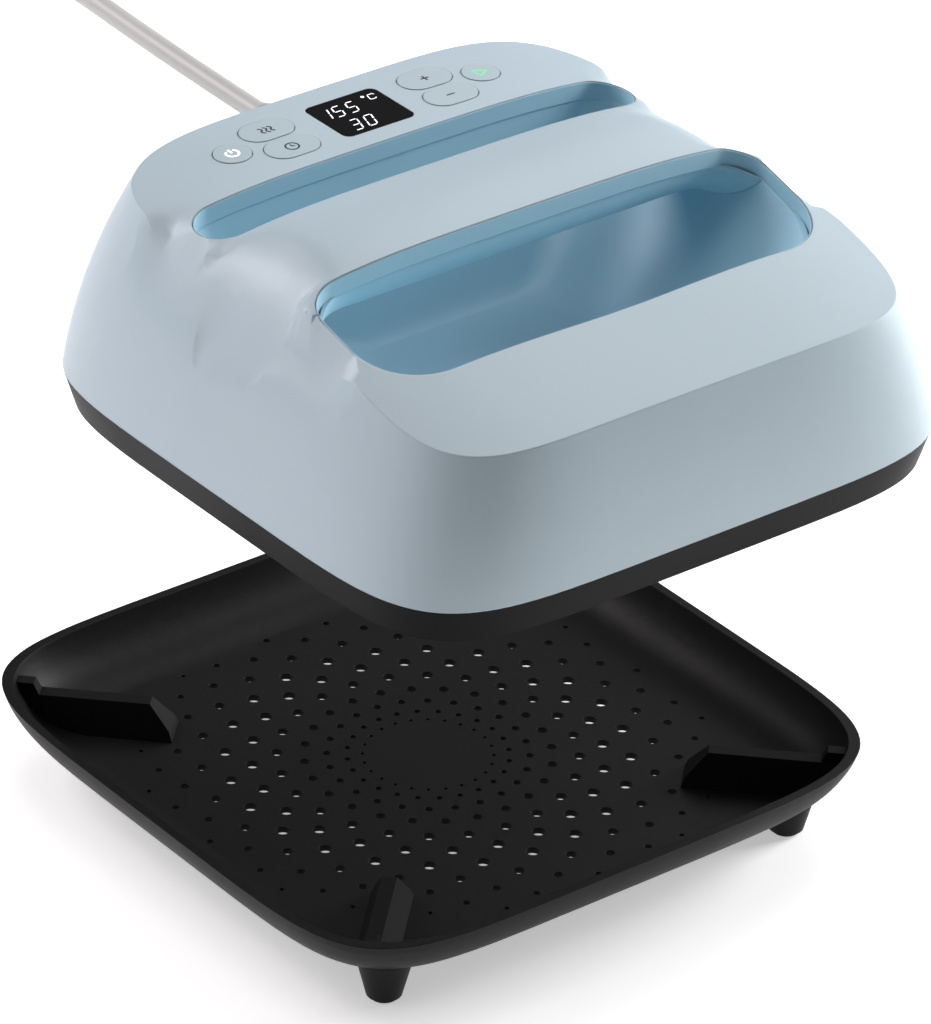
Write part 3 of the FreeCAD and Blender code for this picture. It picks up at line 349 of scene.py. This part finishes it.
def skin(name, reshape=None):
    """A merged copy of a CAD node, shaded smooth up to its creases, that stands for it."""
    mesh = bpy.data.meshes.new(name + "_skin")
    source = bmesh.new()
    source.from_mesh(NODES[name].data)
    bmesh.ops.remove_doubles(source, verts=source.verts, dist=MERGE)
    bmesh.ops.dissolve_degenerate(source, edges=source.edges, dist=SLIVER)
    if reshape:
        reshape(source)
    source.to_mesh(mesh)
    source.free()
    for attribute in ("custom_normal", "sharp_edge", "sharp_face"):
        if attribute in mesh.attributes:
            mesh.attributes.remove(mesh.attributes[attribute])
    mesh.shade_smooth()
    mesh.set_sharp_from_angle(angle=CREASE)
    made = flat_object(name + "_skin", mesh)
    weighted = made.modifiers.new("weights", "WEIGHTED_NORMAL")
    weighted.keep_sharp = True
    weighted.weight = 80
    settled(made)
    made.data.materials.clear()
    made.data.materials.append(MATERIALS[SLOTS[name]])
    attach(made, BODY_OF[name])
    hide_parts(name)
    return made


def finish_node(name):
    """Gives a carried-over CAD node its material."""
    target = NODES[name]
    target.data.materials.clear()
    target.data.materials.append(MATERIALS[SLOTS[name]])


def tree_with(name, sockets):
    """An empty Geometry Nodes tree with the given named inputs."""
    tree = bpy.data.node_groups.new(name, "GeometryNodeTree")
    tree.interface.new_socket("Geometry", in_out="OUTPUT", socket_type="NodeSocketGeometry")
    for label, kind, value in sockets:
        made = tree.interface.new_socket(label, in_out="INPUT", socket_type=kind)
        if value is not None:
            made.default_value = value
    start = node(tree, "NodeGroupInput")
    return tree, start.outputs


def close_tree(tree, geometry, material):
    """Ends a tree in real geometry of one material."""
    real = node(tree, "GeometryNodeRealizeInstances", {"Geometry": geometry})
    coloured = node(tree, "GeometryNodeSetMaterial", {"Geometry": real.outputs[0], "Material": material})
    node(tree, "NodeGroupOutput", {"Geometry": coloured.outputs[0]})
    return tree


def grown(name, tree, values, mesh=None):
    """A plain mesh from a Geometry Nodes tree, its inputs set by their names before it is evaluated."""
    made = flat_object(name, mesh or bpy.data.meshes.new(name))
    modifier = made.modifiers.new("grow", "NODES")
    modifier.node_group = tree
    keys = {s.name: s.identifier for s in tree.interface.items_tree if s.in_out == "INPUT"}
    for label, value in values.items():
        modifier[keys[label]] = value
    return settled(made)


def stroke_tree():
    """Follows the edges of a wire mesh with a flat ribbon, for printed icons and lit segments."""
    tree, given = tree_with("printed_stroke", [
        ("Wire", "NodeSocketGeometry", None),
        ("Width", "NodeSocketFloat", 0.5 * MM),
        ("Thickness", "NodeSocketFloat", 0.05 * MM),
        ("Material", "NodeSocketMaterial", None),
    ])
    line = node(tree, "GeometryNodeMeshToCurve", {"Mesh": given["Wire"]})
    upright = node(tree, "GeometryNodeSetCurveNormal", {"Curve": line.outputs[0]}, mode="Z_UP")
    section = node(tree, "GeometryNodeCurvePrimitiveQuadrilateral", {"Width": given["Width"],
                                                                     "Height": given["Thickness"]})
    ribbon = node(tree, "GeometryNodeCurveToMesh", {"Curve": upright.outputs[0],
                                                    "Profile Curve": section.outputs[0], "Fill Caps": True})
    return close_tree(tree, ribbon.outputs[0], given["Material"])


def ring_tree():
    """A row of rings along Y that get smaller from the first to the last, for a bend sleeve's ribs."""
    tree, given = tree_with("tapered_rings", [
        ("Count", "NodeSocketInt", 6),
        ("Start", "NodeSocketVector", None),
        ("Pitch", "NodeSocketVector", None),
        ("Large", "NodeSocketFloat", 7 * MM),
        ("Small", "NodeSocketFloat", 5 * MM),
        ("Bead", "NodeSocketFloat", 0.7 * MM),
        ("Material", "NodeSocketMaterial", None),
    ])
    row = node(tree, "GeometryNodeMeshLine", {"Count": given["Count"], "Start Location": given["Start"],
                                              "Offset": given["Pitch"]}, mode="OFFSET")
    circle = node(tree, "GeometryNodeCurvePrimitiveCircle", {"Resolution": 32, "Radius": 1.0})
    step = node(tree, "GeometryNodeInputIndex")
    last = node(tree, "ShaderNodeMath", {0: given["Count"], 1: 1.0}, operation="SUBTRACT")
    size = node(tree, "ShaderNodeMapRange", {"Value": step.outputs[0], "From Max": last.outputs[0],
                                             "To Min": given["Large"], "To Max": given["Small"]})
    upright = node(tree, "FunctionNodeInputVector")
    upright.vector = (pi / 2, 0, 0)
    turn = node(tree, "FunctionNodeEulerToRotation", {0: upright.outputs[0]})
    put = node(tree, "GeometryNodeInstanceOnPoints", {"Points": row.outputs[0], "Instance": circle.outputs[0],
                                                      "Rotation": turn.outputs[0], "Scale": size.outputs[0]})
    real = node(tree, "GeometryNodeRealizeInstances", {"Geometry": put.outputs[0]})
    bead = node(tree, "GeometryNodeCurvePrimitiveCircle", {"Resolution": 10, "Radius": given["Bead"]})
    swept = node(tree, "GeometryNodeCurveToMesh", {"Curve": real.outputs[0],
                                                   "Profile Curve": bead.outputs[0]})
    smooth = node(tree, "GeometryNodeSetShadeSmooth", {"Geometry": swept.outputs[0]})
    return close_tree(tree, smooth.outputs[0], given["Material"])


def wire_mesh(name, lines):
    """Edges through the given lines of points; a line whose ends meet is closed."""
    mesh = bpy.data.meshes.new(name)
    points, edges = [], []
    for line in lines:
        closed = (Vector(line[0]) - Vector(line[-1])).length < 1e-9
        first = len(points)
        body = line[:-1] if closed else line
        points += [(x, y, 0.0) for x, y in body]
        edges += [(first + i, first + i + 1) for i in range(len(body) - 1)]
        if closed:
            edges.append((first + len(body) - 1, first))
    mesh.from_pydata(points, edges, [])
    return mesh


def within(box, x, y):
    """Whether x, y lies in a box given as its half width and its nearest and furthest y."""
    half, near, far = box
    return abs(x) < half and near < y < far


def opening_lining(name, housing, middle_y, box):
    """A thin band on an opening's inner wall, from just under its rim to just below the wall's lower edge."""
    shape = bmesh.new()
    shape.from_mesh(housing.data)
    inner = set()
    for face in shape.faces:
        x, y, z = face.calc_center_median() / MM + GRIP
        inwards = face.normal.x * x + face.normal.y * (y - middle_y) < 0
        if inwards and within(box, x, y) and z > LOWEST_RIM and abs(face.normal.z) < WALL_TILT:
            inner.add(face)
    walls = {}
    for face in inner:
        for vertex in face.verts:
            walls[vertex] = walls.get(vertex, Vector()) + face.normal * face.calc_area()
    top = {v for v in walls if any(f not in inner and f.normal.z > RIM_TILT for f in v.link_faces)}
    places = {v: v.co + wall.normalized() * LINING_GAP + DOWN * (RIM_LIP if v in top else LINING_LAP)
              for v, wall in walls.items()}
    bmesh.ops.delete(shape, geom=[f for f in shape.faces if f not in inner], context="FACES")
    for vertex, place in places.items():
        vertex.co = place
    mesh = bpy.data.meshes.new(name)
    shape.to_mesh(mesh)
    shape.free()
    made = flat_object(name, mesh)
    wall = made.modifiers.new("wall", "SOLIDIFY")
    wall.thickness = LINING_T
    wall.offset = 1
    settled(made)
    made.data.shade_smooth()
    made.data.set_sharp_from_angle(angle=LINING_CREASE)
    made.data.materials.clear()
    made.data.materials.append(MATERIALS["liner_blue"])
    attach(made, "press")


def ease(t):
    """Rises smoothly from 0 to 1 as t does, and stays there."""
    t = min(1.0, max(0.0, t))
    return t * t * (3 - 2 * t)


def between(value, low, high):
    """Rises smoothly from 0 to 1 as the value goes from low to high."""
    return ease((value - low) / (high - low))


def window(value, start, full, fading, end):
    """Rises smoothly to 1, stays there, and falls smoothly again."""
    return between(value, start, full) * between(-value, -end, -fading)


def height_grid(tree):
    """Heights of the outer surface on a grid over each shoulder, with none in the openings."""
    heights = {}
    for side in (-1, 1):
        for i in range(GRID_COUNT[0]):
            for j in range(GRID_COUNT[1]):
                x, y = side * (GRID_START[0] + i * GRID_STEP), GRID_START[1] + j * GRID_STEP
                if within(SLOT_BOX, x, y) or within(FRONT_HOLE, x, y):
                    continue
                hit = tree.ray_cast(at(x, y, ABOVE_ALL), DOWN)[0]
                if hit is not None:
                    heights[side, i, j] = (x, y, hit.z)
    return heights


def soft_height(heights, x, y):
    """The height at x, y when the grid's heights near it are averaged."""
    side = 1 if x > 0 else -1
    i0, j0 = round((abs(x) - GRID_START[0]) / GRID_STEP), round((y - GRID_START[1]) / GRID_STEP)
    total = rise = 0.0
    for i in range(i0 - SOFT_CELLS, i0 + SOFT_CELLS + 1):
        for j in range(j0 - SOFT_CELLS, j0 + SOFT_CELLS + 1):
            if (side, i, j) in heights:
                px, py, pz = heights[side, i, j]
                pull = exp(-((px - x) ** 2 + (py - y) ** 2) / (2 * SOFT_REACH ** 2))
                total += pull
                rise += pull * pz
    return rise / total


def soften_shoulders(shape):
    """Rounds off the folds where the handle runs down into the sides, outside and inside alike."""
    tree = BVHTree.FromBMesh(shape)
    heights = height_grid(tree)
    for vertex in shape.verts:
        x, y, _ = vertex.co / MM + GRIP
        from_slot = Vector((max(abs(x) - SLOT_END, 0), y - SLOT_Y)).length - SLOT_R
        from_front = Vector((max(abs(x) - FRONT_HALF, 0), max(y - FRONT_FAR, FRONT_NEAR - y, 0))).length
        weight = window(abs(x), *SOFT_X) * window(y, *SOFT_Y)
        weight *= between(from_slot, *SOFT_FROM_SLOT) * between(from_front, *SOFT_FROM_FRONT)
        if weight <= 0:
            continue
        hit = tree.ray_cast(at(x, y, ABOVE_ALL), DOWN)[0]
        if hit is not None and hit.z - vertex.co.z <= WALL_DEEP * MM:
            vertex.co.z += weight * (soft_height(heights, x, y) - hit.z)


def lay_on(made, target, lift):
    """Lowers a flat piece onto the surface below it, keeping its own thickness."""
    surface = bmesh.new()
    surface.from_mesh(target.data)
    tree = BVHTree.FromBMesh(surface)
    for vertex in made.data.vertices:
        hit = tree.ray_cast(Vector((vertex.co.x, vertex.co.y, ABOVE_ALL * MM)), DOWN)[0]
        if hit is None:
            raise RuntimeError(f"{made.name} lies beside {target.name}")
        vertex.co.z += hit.z + lift
    surface.free()


# ---------------------------------------------------------------- icons and digits, in millimetres


def arc(r, start, end, steps, x=0.0, y=0.0):
    """Points on a circle about x, y from one angle to another; a full turn ends on its first point."""
    turns = [radians(start + (end - start) * i / steps) for i in range(steps + 1)]
    points = [(x + r * cos(turn), y + r * sin(turn)) for turn in turns]
    if end - start == 360:
        points[-1] = points[0]
    return points


def power_icon():
    """An open ring with a bar through its gap."""
    return [arc(2.5, 125, 415, 36), [(0, 0.4), (0, 3.1)]]


def waves_icon():
    """Three rising waves, for heat."""
    heights = [i * 0.25 - 2.25 for i in range(19)]
    return [[(x + 0.55 * sin(y * 1.9), y) for y in heights] for x in (-2.1, 0.0, 2.1)]


def clock_icon():
    """A ring with two hands."""
    return [arc(2.6, 0, 360, 36), [(0, 1.5), (0, 0), (1.2, 0)]]


def plus_icon():
    """Two crossed bars."""
    return [[(-1.9, 0), (1.9, 0)], [(0, -1.9), (0, 1.9)]]


def minus_icon():
    """One level bar."""
    return [[(-1.9, 0), (1.9, 0)]]


def play_icon():
    """A triangle that points right."""
    return [[(-1.9, -2.7), (-1.9, 2.7), (2.9, 0), (-1.9, -2.7)]]


# Each key's icon, its material and the width of its strokes in millimetres.
ICONS = {
    "power_button": (power_icon, "icon_white", 0.75),
    "go_button": (play_icon, "icon_green", 0.75),
    "heat_button": (waves_icon, "print_dark", 0.7),
    "timer_button": (clock_icon, "print_dark", 0.7),
    "plus_button": (plus_icon, "print_dark", 0.7),
    "minus_button": (minus_icon, "print_dark", 0.7),
}

# A digit's seven bars as pairs of its six corners: 0 1 at the top, 2 3 in the middle, 4 5 at the bottom.
BARS = {
    "top": (0, 1), "mid": (2, 3), "low": (4, 5),
    "top_left": (0, 2), "top_right": (1, 3), "low_left": (2, 4), "low_right": (3, 5),
}
DIGITS = {
    "0": ("top", "low", "top_left", "top_right", "low_left", "low_right"),
    "1": ("top_right", "low_right"),
    "3": ("top", "mid", "low", "top_right", "low_right"),
    "5": ("top", "top_left", "mid", "low_right", "low"),
}
DIGIT_WIDE = 3.5
DIGIT_HIGH = 7.8
DIGIT_LEAN = 0.30
BAR_GAP = 0.42

# What the display shows: each digit's lower left corner, and the unit's.
SHOWN = (("1", -14.6, 87.4), ("5", -8.9, 87.4), ("5", -2.5, 87.4), ("3", -9.7, 75.0), ("0", -3.2, 75.0))
UNIT_AT = (8.5, 92.2)
UNIT_WIDTH = 0.4 * MM


def digit_lines(digit, x, y):
    """The lit bars of one digit whose lower left corner is at x, y."""
    corners = [(DIGIT_WIDE * (i % 2), DIGIT_HIGH * (1 - (i // 2) / 2)) for i in range(6)]
    lines = []
    for bar in DIGITS[digit]:
        a, b = (Vector(corners[i]) for i in BARS[bar])
        along = (b - a).normalized() * BAR_GAP
        lines.append([(x + p.x + DIGIT_LEAN * p.y, y + p.y) for p in (a + along, b - along)])
    return lines


def degree_c(x, y):
    """The unit beside the temperature: a small ring and a C."""
    c = ((5.1, 2.9), (4.7, 3.7), (2.6, 3.7), (2.1, 3.2), (1.5, 0.6), (1.8, 0), (3.9, 0), (4.3, 0.5))
    return [[(x + i, y + j) for i, j in c], arc(0.55, 0, 360, 12, x, y + 3.5)]


# ---------------------------------------------------------------- cord

# The table's height, the cord's height where it leaves the rear wall, that wall's y and the cord's radius.
TABLE_Z = -163.2
CORD_Z = 66.8
WALL_Y = 122.8
CORD_R = 4.2

# The coil's middle, the radii of its tracks in turn, and the turns at which it changes from one to the next.
COIL_X = -135.0
COIL_Y = 400.0
COIL_TRACKS = (52.2, 43.8, 52.2)
GOES_IN = (0.8, 1.15)
CLIMBS = (1.75, 2.15)
GOES_OUT = (2.6, 2.95)
TURNS = 3.5
POINTS_A_TURN = 16

# The route from the press to the coil, and the straight tail from the coil into the plug.
CORD_POINTS = [
    (0, 98, CORD_Z), (0, 190, CORD_Z), (0, 318, 73.6), (-4, 392, 49), (-10, 437, -13), (-14, 452, -77),
    (-26, 457, -123), (-52, 454, -151), (-80, 452.2, TABLE_Z + CORD_R), (-104, 452.2, TABLE_Z + CORD_R),
]
PLUG_X = -93.0
PLUG_OVERLAP = 10
TAIL_LEAD = 18

# The bend sleeve's ribs: their number, the first one's distance from the wall, their pitch and end radii.
RIBS = 6
RIB_START = 6.9
RIB_PITCH = 3.4
RIB_RADII = (6.3, 4.9)


def coil_points():
    """The coil's turns: two on the table, the outer one first, and the rest on top of them."""
    points = []
    count = int(TURNS * POINTS_A_TURN)
    swell = 1 / (0.75 + 0.25 * cos(2 * pi / POINTS_A_TURN))
    for i in range(1, count + 1):
        turn = i / POINTS_A_TURN
        angle = pi / 2 + 2 * pi * turn
        first, second, third = COIL_TRACKS
        r = first + (second - first) * between(turn, *GOES_IN) + (third - second) * between(turn, *GOES_OUT)
        z = TABLE_Z + CORD_R * (1 + 2 * between(turn, *CLIMBS))
        points.append((COIL_X + r * swell * cos(angle), COIL_Y + r * swell * sin(angle), z))
    return points


def spline_line(name, points):
    """The points that a NURBS curve through the route runs along, in the row frame."""
    curve = bpy.data.curves.new(name, "CURVE")
    curve.dimensions = "3D"
    curve.resolution_u = 10
    spline = curve.splines.new("NURBS")
    spline.points.add(len(points) - 1)
    for target, place in zip(spline.points, points):
        target.co = [*at(*place), 1]
    spline.order_u = 3
    spline.use_endpoint_u = True
    holder = flat_object(name, curve)
    bpy.context.view_layer.update()
    line = bpy.data.meshes.new_from_object(holder.evaluated_get(bpy.context.evaluated_depsgraph_get()))
    path = [v.co.copy() for v in line.vertices]
    bpy.data.objects.remove(holder)
    bpy.data.meshes.remove(line)
    return path


def tube_mesh(name, path, radius, sides=20):
    """A round tube along a path, closed at both ends."""
    shape = bmesh.new()
    side = Vector((0, 0, 1))
    rings = []
    turns = [2 * pi * j / sides for j in range(sides)]
    for i, place in enumerate(path):
        ahead = (path[min(i + 1, len(path) - 1)] - path[max(i - 1, 0)]).normalized()
        side = (side - side.dot(ahead) * ahead).normalized()
        across = ahead.cross(side)
        rings.append([shape.verts.new(place + radius * (cos(turn) * side + sin(turn) * across))
                      for turn in turns])
    for a, b in zip(rings, rings[1:]):
        for j in range(sides):
            shape.faces.new((a[j], a[(j + 1) % sides], b[(j + 1) % sides], b[j]))
    shape.faces.new(reversed(rings[0]))
    shape.faces.new(rings[-1])
    bmesh.ops.recalc_face_normals(shape, faces=shape.faces)
    mesh = bpy.data.meshes.new(name)
    shape.to_mesh(mesh)
    shape.free()
    mesh.shade_smooth()
    return mesh


# ---------------------------------------------------------------- add-on


class PressLooks(bpy.types.PropertyGroup):
    """Colours of the press that a user would change."""

    housing_blue: FloatVectorProperty(
        name="Housing", description="Colour of the upper housing", subtype="COLOR", default=linear("#aabac3"))
    liner_blue: FloatVectorProperty(
        name="Recess", description="Colour of the hand recess and the grip's underside",
        subtype="COLOR", default=linear("#a9cfdf"))
    key_blue: FloatVectorProperty(
        name="Keys", description="Colour of the key caps", subtype="COLOR", default=linear("#aabac1"))
    tray_black: FloatVectorProperty(
        name="Tray", description="Colour of the resting base", subtype="COLOR", default=linear("#0b0b0c"))
    cord_grey: FloatVectorProperty(
        name="Cord", description="Colour of the mains cord", subtype="COLOR", default=linear("#b4b3b1"))
    print_dark: FloatVectorProperty(
        name="Print", description="Colour of the printed icons", subtype="COLOR", default=linear("#1c262d"))


class PressSizes(bpy.types.PropertyGroup):
    """Sizes of the press that a user would change."""

    print_thickness: FloatProperty(
        name="Print thickness", description="How far the icons stand above their keys",
        unit="LENGTH", default=0.04 * MM)
    segment_width: FloatProperty(
        name="Segment width", description="Width of a digit's lit bars", unit="LENGTH", default=0.5 * MM)
    cord_length: FloatProperty(
        name="Cord length", description="Length of the mains cord from the housing to the plug",
        unit="LENGTH", default=1.8)
    rib_bead: FloatProperty(
        name="Rib bead", description="Radius of the bend sleeve's ribs", unit="LENGTH", default=0.8 * MM)


# The floor's half width and glow, the sky's strength, and each lamp's place, width, watts and colour.
FLOOR_REACH = 9.0
FLOOR_GLOW = 0.45
SKY_STRENGTH = 0.12
WHITE = (1, 1, 1)
ROSE_WHITE = (1, 0.94, 0.97)
LAMPS = (
    ("softbox_right_rear", (1.25, 0.65, 1.15), 1.1, 7.6, WHITE),
    ("softbox_right", (1.6, -0.35, 0.45), 0.8, 35, WHITE),
    ("softbox_left", (-1.6, 0.6, 0.55), 1.0, 4, ROSE_WHITE),
    ("softbox_left_rear", (-0.9, 1.4, 1.1), 1.0, 25, ROSE_WHITE),
    ("softbox_top", (0.1, 0.45, 1.9), 1.4, 13, WHITE),
)
LAMPS_AIM = Vector((0, 0, -0.12))

# The camera's place in metres, its azimuth, elevation and roll in degrees, and its lens and sensor in mm.
CAMERA_AT = (-1.4046, -1.7781, 1.1920)
CAMERA_TURN = (-38.21, 30.27, 1.35)
CAMERA_LENS = 244.7
CAMERA_SENSOR = 36


class PRESS_OT_stage(bpy.types.Operator):
    """Lays the floor and sets the lights and the camera"""

    bl_idname = "press.stage"
    bl_label = "Floor, lights and camera"

    def execute(self, context):
        scene = context.scene
        scene.view_settings.view_transform = "Standard"
        floor_z = at(0, 0, TABLE_Z).z
        # A white acrylic sheet lit from below as well as from above, so that shadows on it stay pale.
        white = linear("#f4f4f4")
        material, tree, shader = blank("lit_white_acrylic", white, roughness=0.7)
        shader.inputs["Emission Color"].default_value = (1, 1, 1, 1)
        shader.inputs["Emission Strength"].default_value = FLOOR_GLOW
        shade(tree, shader, noise(tree, size_mm=200), white, spread=0.01)
        mesh = bpy.data.meshes.new("floor")
        corners = ((-1, -1), (1, -1), (1, 1), (-1, 1))
        corners = [(x * FLOOR_REACH, y * FLOOR_REACH, floor_z) for x, y in corners]
        mesh.from_pydata(corners, [], [(0, 1, 2, 3)])
        mesh.materials.append(material)
        floor = flat_object("floor", mesh)
        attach(floor, "base")

        world = bpy.data.worlds.new("studio_white")
        world.use_nodes = True
        sky = world.node_tree.nodes["Background"]
        sky.inputs["Color"].default_value = (1, 1, 1, 1)
        sky.inputs["Strength"].default_value = SKY_STRENGTH
        scene.world = world

        for name, place, size, power, colour in LAMPS:
            lamp = bpy.data.lights.new(name, "AREA")
            lamp.shape = "RECTANGLE"
            lamp.size = lamp.size_y = size
            lamp.energy = power
            lamp.color = colour
            made = bpy.data.objects.new(name, lamp)
            made.location = place
            made.rotation_euler = (LAMPS_AIM - Vector(place)).to_track_quat("-Z", "Y").to_euler()
            scene.collection.objects.link(made)

        azimuth, elevation, roll = (radians(turn) for turn in CAMERA_TURN)
        ahead = Vector((-sin(azimuth) * cos(elevation), cos(azimuth) * cos(elevation), -sin(elevation)))
        level = Vector((cos(azimuth), sin(azimuth), 0))
        above = level.cross(ahead)
        right = level * cos(roll) + above * sin(roll)
        up = above * cos(roll) - level * sin(roll)
        lens = bpy.data.cameras.new("camera")
        lens.lens = CAMERA_LENS
        lens.sensor_width = CAMERA_SENSOR
        lens.clip_end = 30
        camera = bpy.data.objects.new("camera", lens)
        turned = Matrix((right, up, -ahead)).transposed().to_4x4()
        camera.matrix_world = Matrix.Translation(CAMERA_AT) @ turned
        scene.collection.objects.link(camera)
        scene.camera = camera
        return {"FINISHED"}


class PRESS_OT_cord(bpy.types.Operator):
    """Makes the mains cord with its coil, its bend sleeve's ribs and its plug"""

    bl_idname = "press.cord"
    bl_label = "Cord and plug"

    def execute(self, context):
        sizes = context.scene.press_sizes
        tail_z = TABLE_Z + 3 * CORD_R
        tail_y = COIL_Y - COIL_TRACKS[2]
        route = CORD_POINTS + [(COIL_X, COIL_Y + COIL_TRACKS[0], TABLE_Z + CORD_R)] + coil_points()
        route += [(COIL_X + TAIL_LEAD, tail_y, tail_z), (PLUG_X + PLUG_OVERLAP, tail_y, tail_z)]
        path = spline_line("cord_route", route)
        cord = flat_object("mains_cord", tube_mesh("mains_cord", path, CORD_R * MM))
        cord.data.materials.append(MATERIALS["cord_grey"])
        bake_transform(cord)
        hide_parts("cord", "cord_coil")
        plug = skin("cord_plug")
        pins = skin("plug_pins")
        skin("strain_relief")
        large, small = RIB_RADII
        ribs = grown("strain_relief_ribs", ring_tree(), {
            "Count": RIBS, "Start": at(0, WALL_Y + RIB_START, CORD_Z),
            "Pitch": Vector((0, RIB_PITCH * MM, 0)), "Large": large * MM, "Small": small * MM,
            "Bead": sizes.rib_bead, "Material": MATERIALS["cord_grey"]})
        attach(ribs, "press")
        return {"FINISHED"}


class PRESS_OT_housing(bpy.types.Operator):
    """Makes the upper and lower housing, the hand recess and the grip's underside"""

    bl_idname = "press.housing"
    bl_label = "Housing and grip"

    def execute(self, context):
        housing = skin("upper_housing", reshape=soften_shoulders)
        for name in ("hand_recess_liner", "handle_underside", "lower_housing"):
            skin(name)
        opening_lining("slot_lining", housing, SLOT_Y, SLOT_BOX)
        opening_lining("front_lining", housing, FRONT_Y, FRONT_BOX)
        return {"FINISHED"}


class PRESS_OT_keys(bpy.types.Operator):
    """Makes the six keys and prints their icons"""

    bl_idname = "press.keys"
    bl_label = "Keys"

    def execute(self, context):
        thickness = context.scene.press_sizes.print_thickness
        tree = stroke_tree()
        for name, (icon, slot, width) in ICONS.items():
            key = skin(name)
            low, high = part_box(name)
            centre = (low + high) / 2
            lines = [[(x * MM, y * MM) for x, y in line] for line in icon()]
            values = {"Width": width * MM, "Thickness": thickness, "Material": MATERIALS[slot]}
            mark = grown(name + "_icon", tree, values, wire_mesh(name + "_icon", lines))
            mark.data.transform(Matrix.Translation((centre.x, centre.y, 0)))
            lay_on(mark, key, thickness / 2)
            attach(mark, name)
        return {"FINISHED"}


class PRESS_OT_display(bpy.types.Operator):
    """Makes the display window and its lit digits"""

    bl_idname = "press.display"
    bl_label = "Display"

    def execute(self, context):
        sizes = context.scene.press_sizes
        glass = skin("display_window")
        lines = []
        for digit, x, y in SHOWN:
            lines += digit_lines(digit, x, y)
        for name, drawn, width in (("display_digits", lines, sizes.segment_width),
                                   ("display_unit", degree_c(*UNIT_AT), UNIT_WIDTH)):
            marks = [[tuple(at(x, y, 0).xy) for x, y in line] for line in drawn]
            values = {"Width": width, "Thickness": sizes.print_thickness,
                      "Material": MATERIALS["digit_white"]}
            made = grown(name, stroke_tree(), values, wire_mesh(name, marks))
            lay_on(made, glass, 0)
            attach(made, "press")
        return {"FINISHED"}


class PRESS_OT_base(bpy.types.Operator):
    """Makes the perforated tray, its rests, feet and screws"""

    bl_idname = "press.base"
    bl_label = "Resting base"

    def execute(self, context):
        for name in ("base_tray", "cradle_front_left", "cradle_front_right", "cradle_rear_left",
                     "cradle_rear_right", "foot_pads", "cradle_screws"):
            skin(name)
        return {"FINISHED"}


class PRESS_OT_inside(bpy.types.Operator):
    """Finishes the heat plate and everything inside the press"""

    bl_idname = "press.inside"
    bl_label = "Plate and inner parts"

    def execute(self, context):
        for name in ("heat_plate", "plate_seal", "liner_screws"):
            skin(name)
        hidden = {n for n in NODES if n + "_skin" not in bpy.data.objects}
        for name in sorted(hidden - {"cord", "cord_coil"}):
            finish_node(name)
        return {"FINISHED"}


class PRESS_PT_panel(bpy.types.Panel):
    """Lists the steps that build the press"""

    bl_label = "Heat press"
    bl_idname = "PRESS_PT_panel"
    bl_space_type = "VIEW_3D"
    bl_region_type = "UI"
    bl_category = "Press"

    def draw(self, context):
        for kind in STEPS:
            self.layout.operator(kind.bl_idname)
        for group in (context.scene.press_looks, context.scene.press_sizes):
            for name in group.bl_rna.properties.keys():
                if name not in ("rna_type", "name"):
                    self.layout.prop(group, name)


STEPS = (PRESS_OT_stage, PRESS_OT_cord, PRESS_OT_housing, PRESS_OT_keys, PRESS_OT_display, PRESS_OT_base,
         PRESS_OT_inside)
CLASSES = (PressLooks, PressSizes) + STEPS + (PRESS_PT_panel,)


def register():
    for kind in CLASSES:
        bpy.utils.register_class(kind)
    bpy.types.Scene.press_looks = PointerProperty(type=PressLooks)
    bpy.types.Scene.press_sizes = PointerProperty(type=PressSizes)


def unregister():
    del bpy.types.Scene.press_sizes
    del bpy.types.Scene.press_looks
    for kind in reversed(CLASSES):
        bpy.utils.unregister_class(kind)


def main():
    register()
    MATERIALS.update(make_materials(bpy.context.scene.press_looks))
    bpy.ops.press.stage()
    bpy.ops.press.cord()
    bpy.ops.press.housing()
    bpy.ops.press.keys()
    bpy.ops.press.display()
    bpy.ops.press.base()
    bpy.ops.press.inside()


if __name__ == "__main__":
    main()
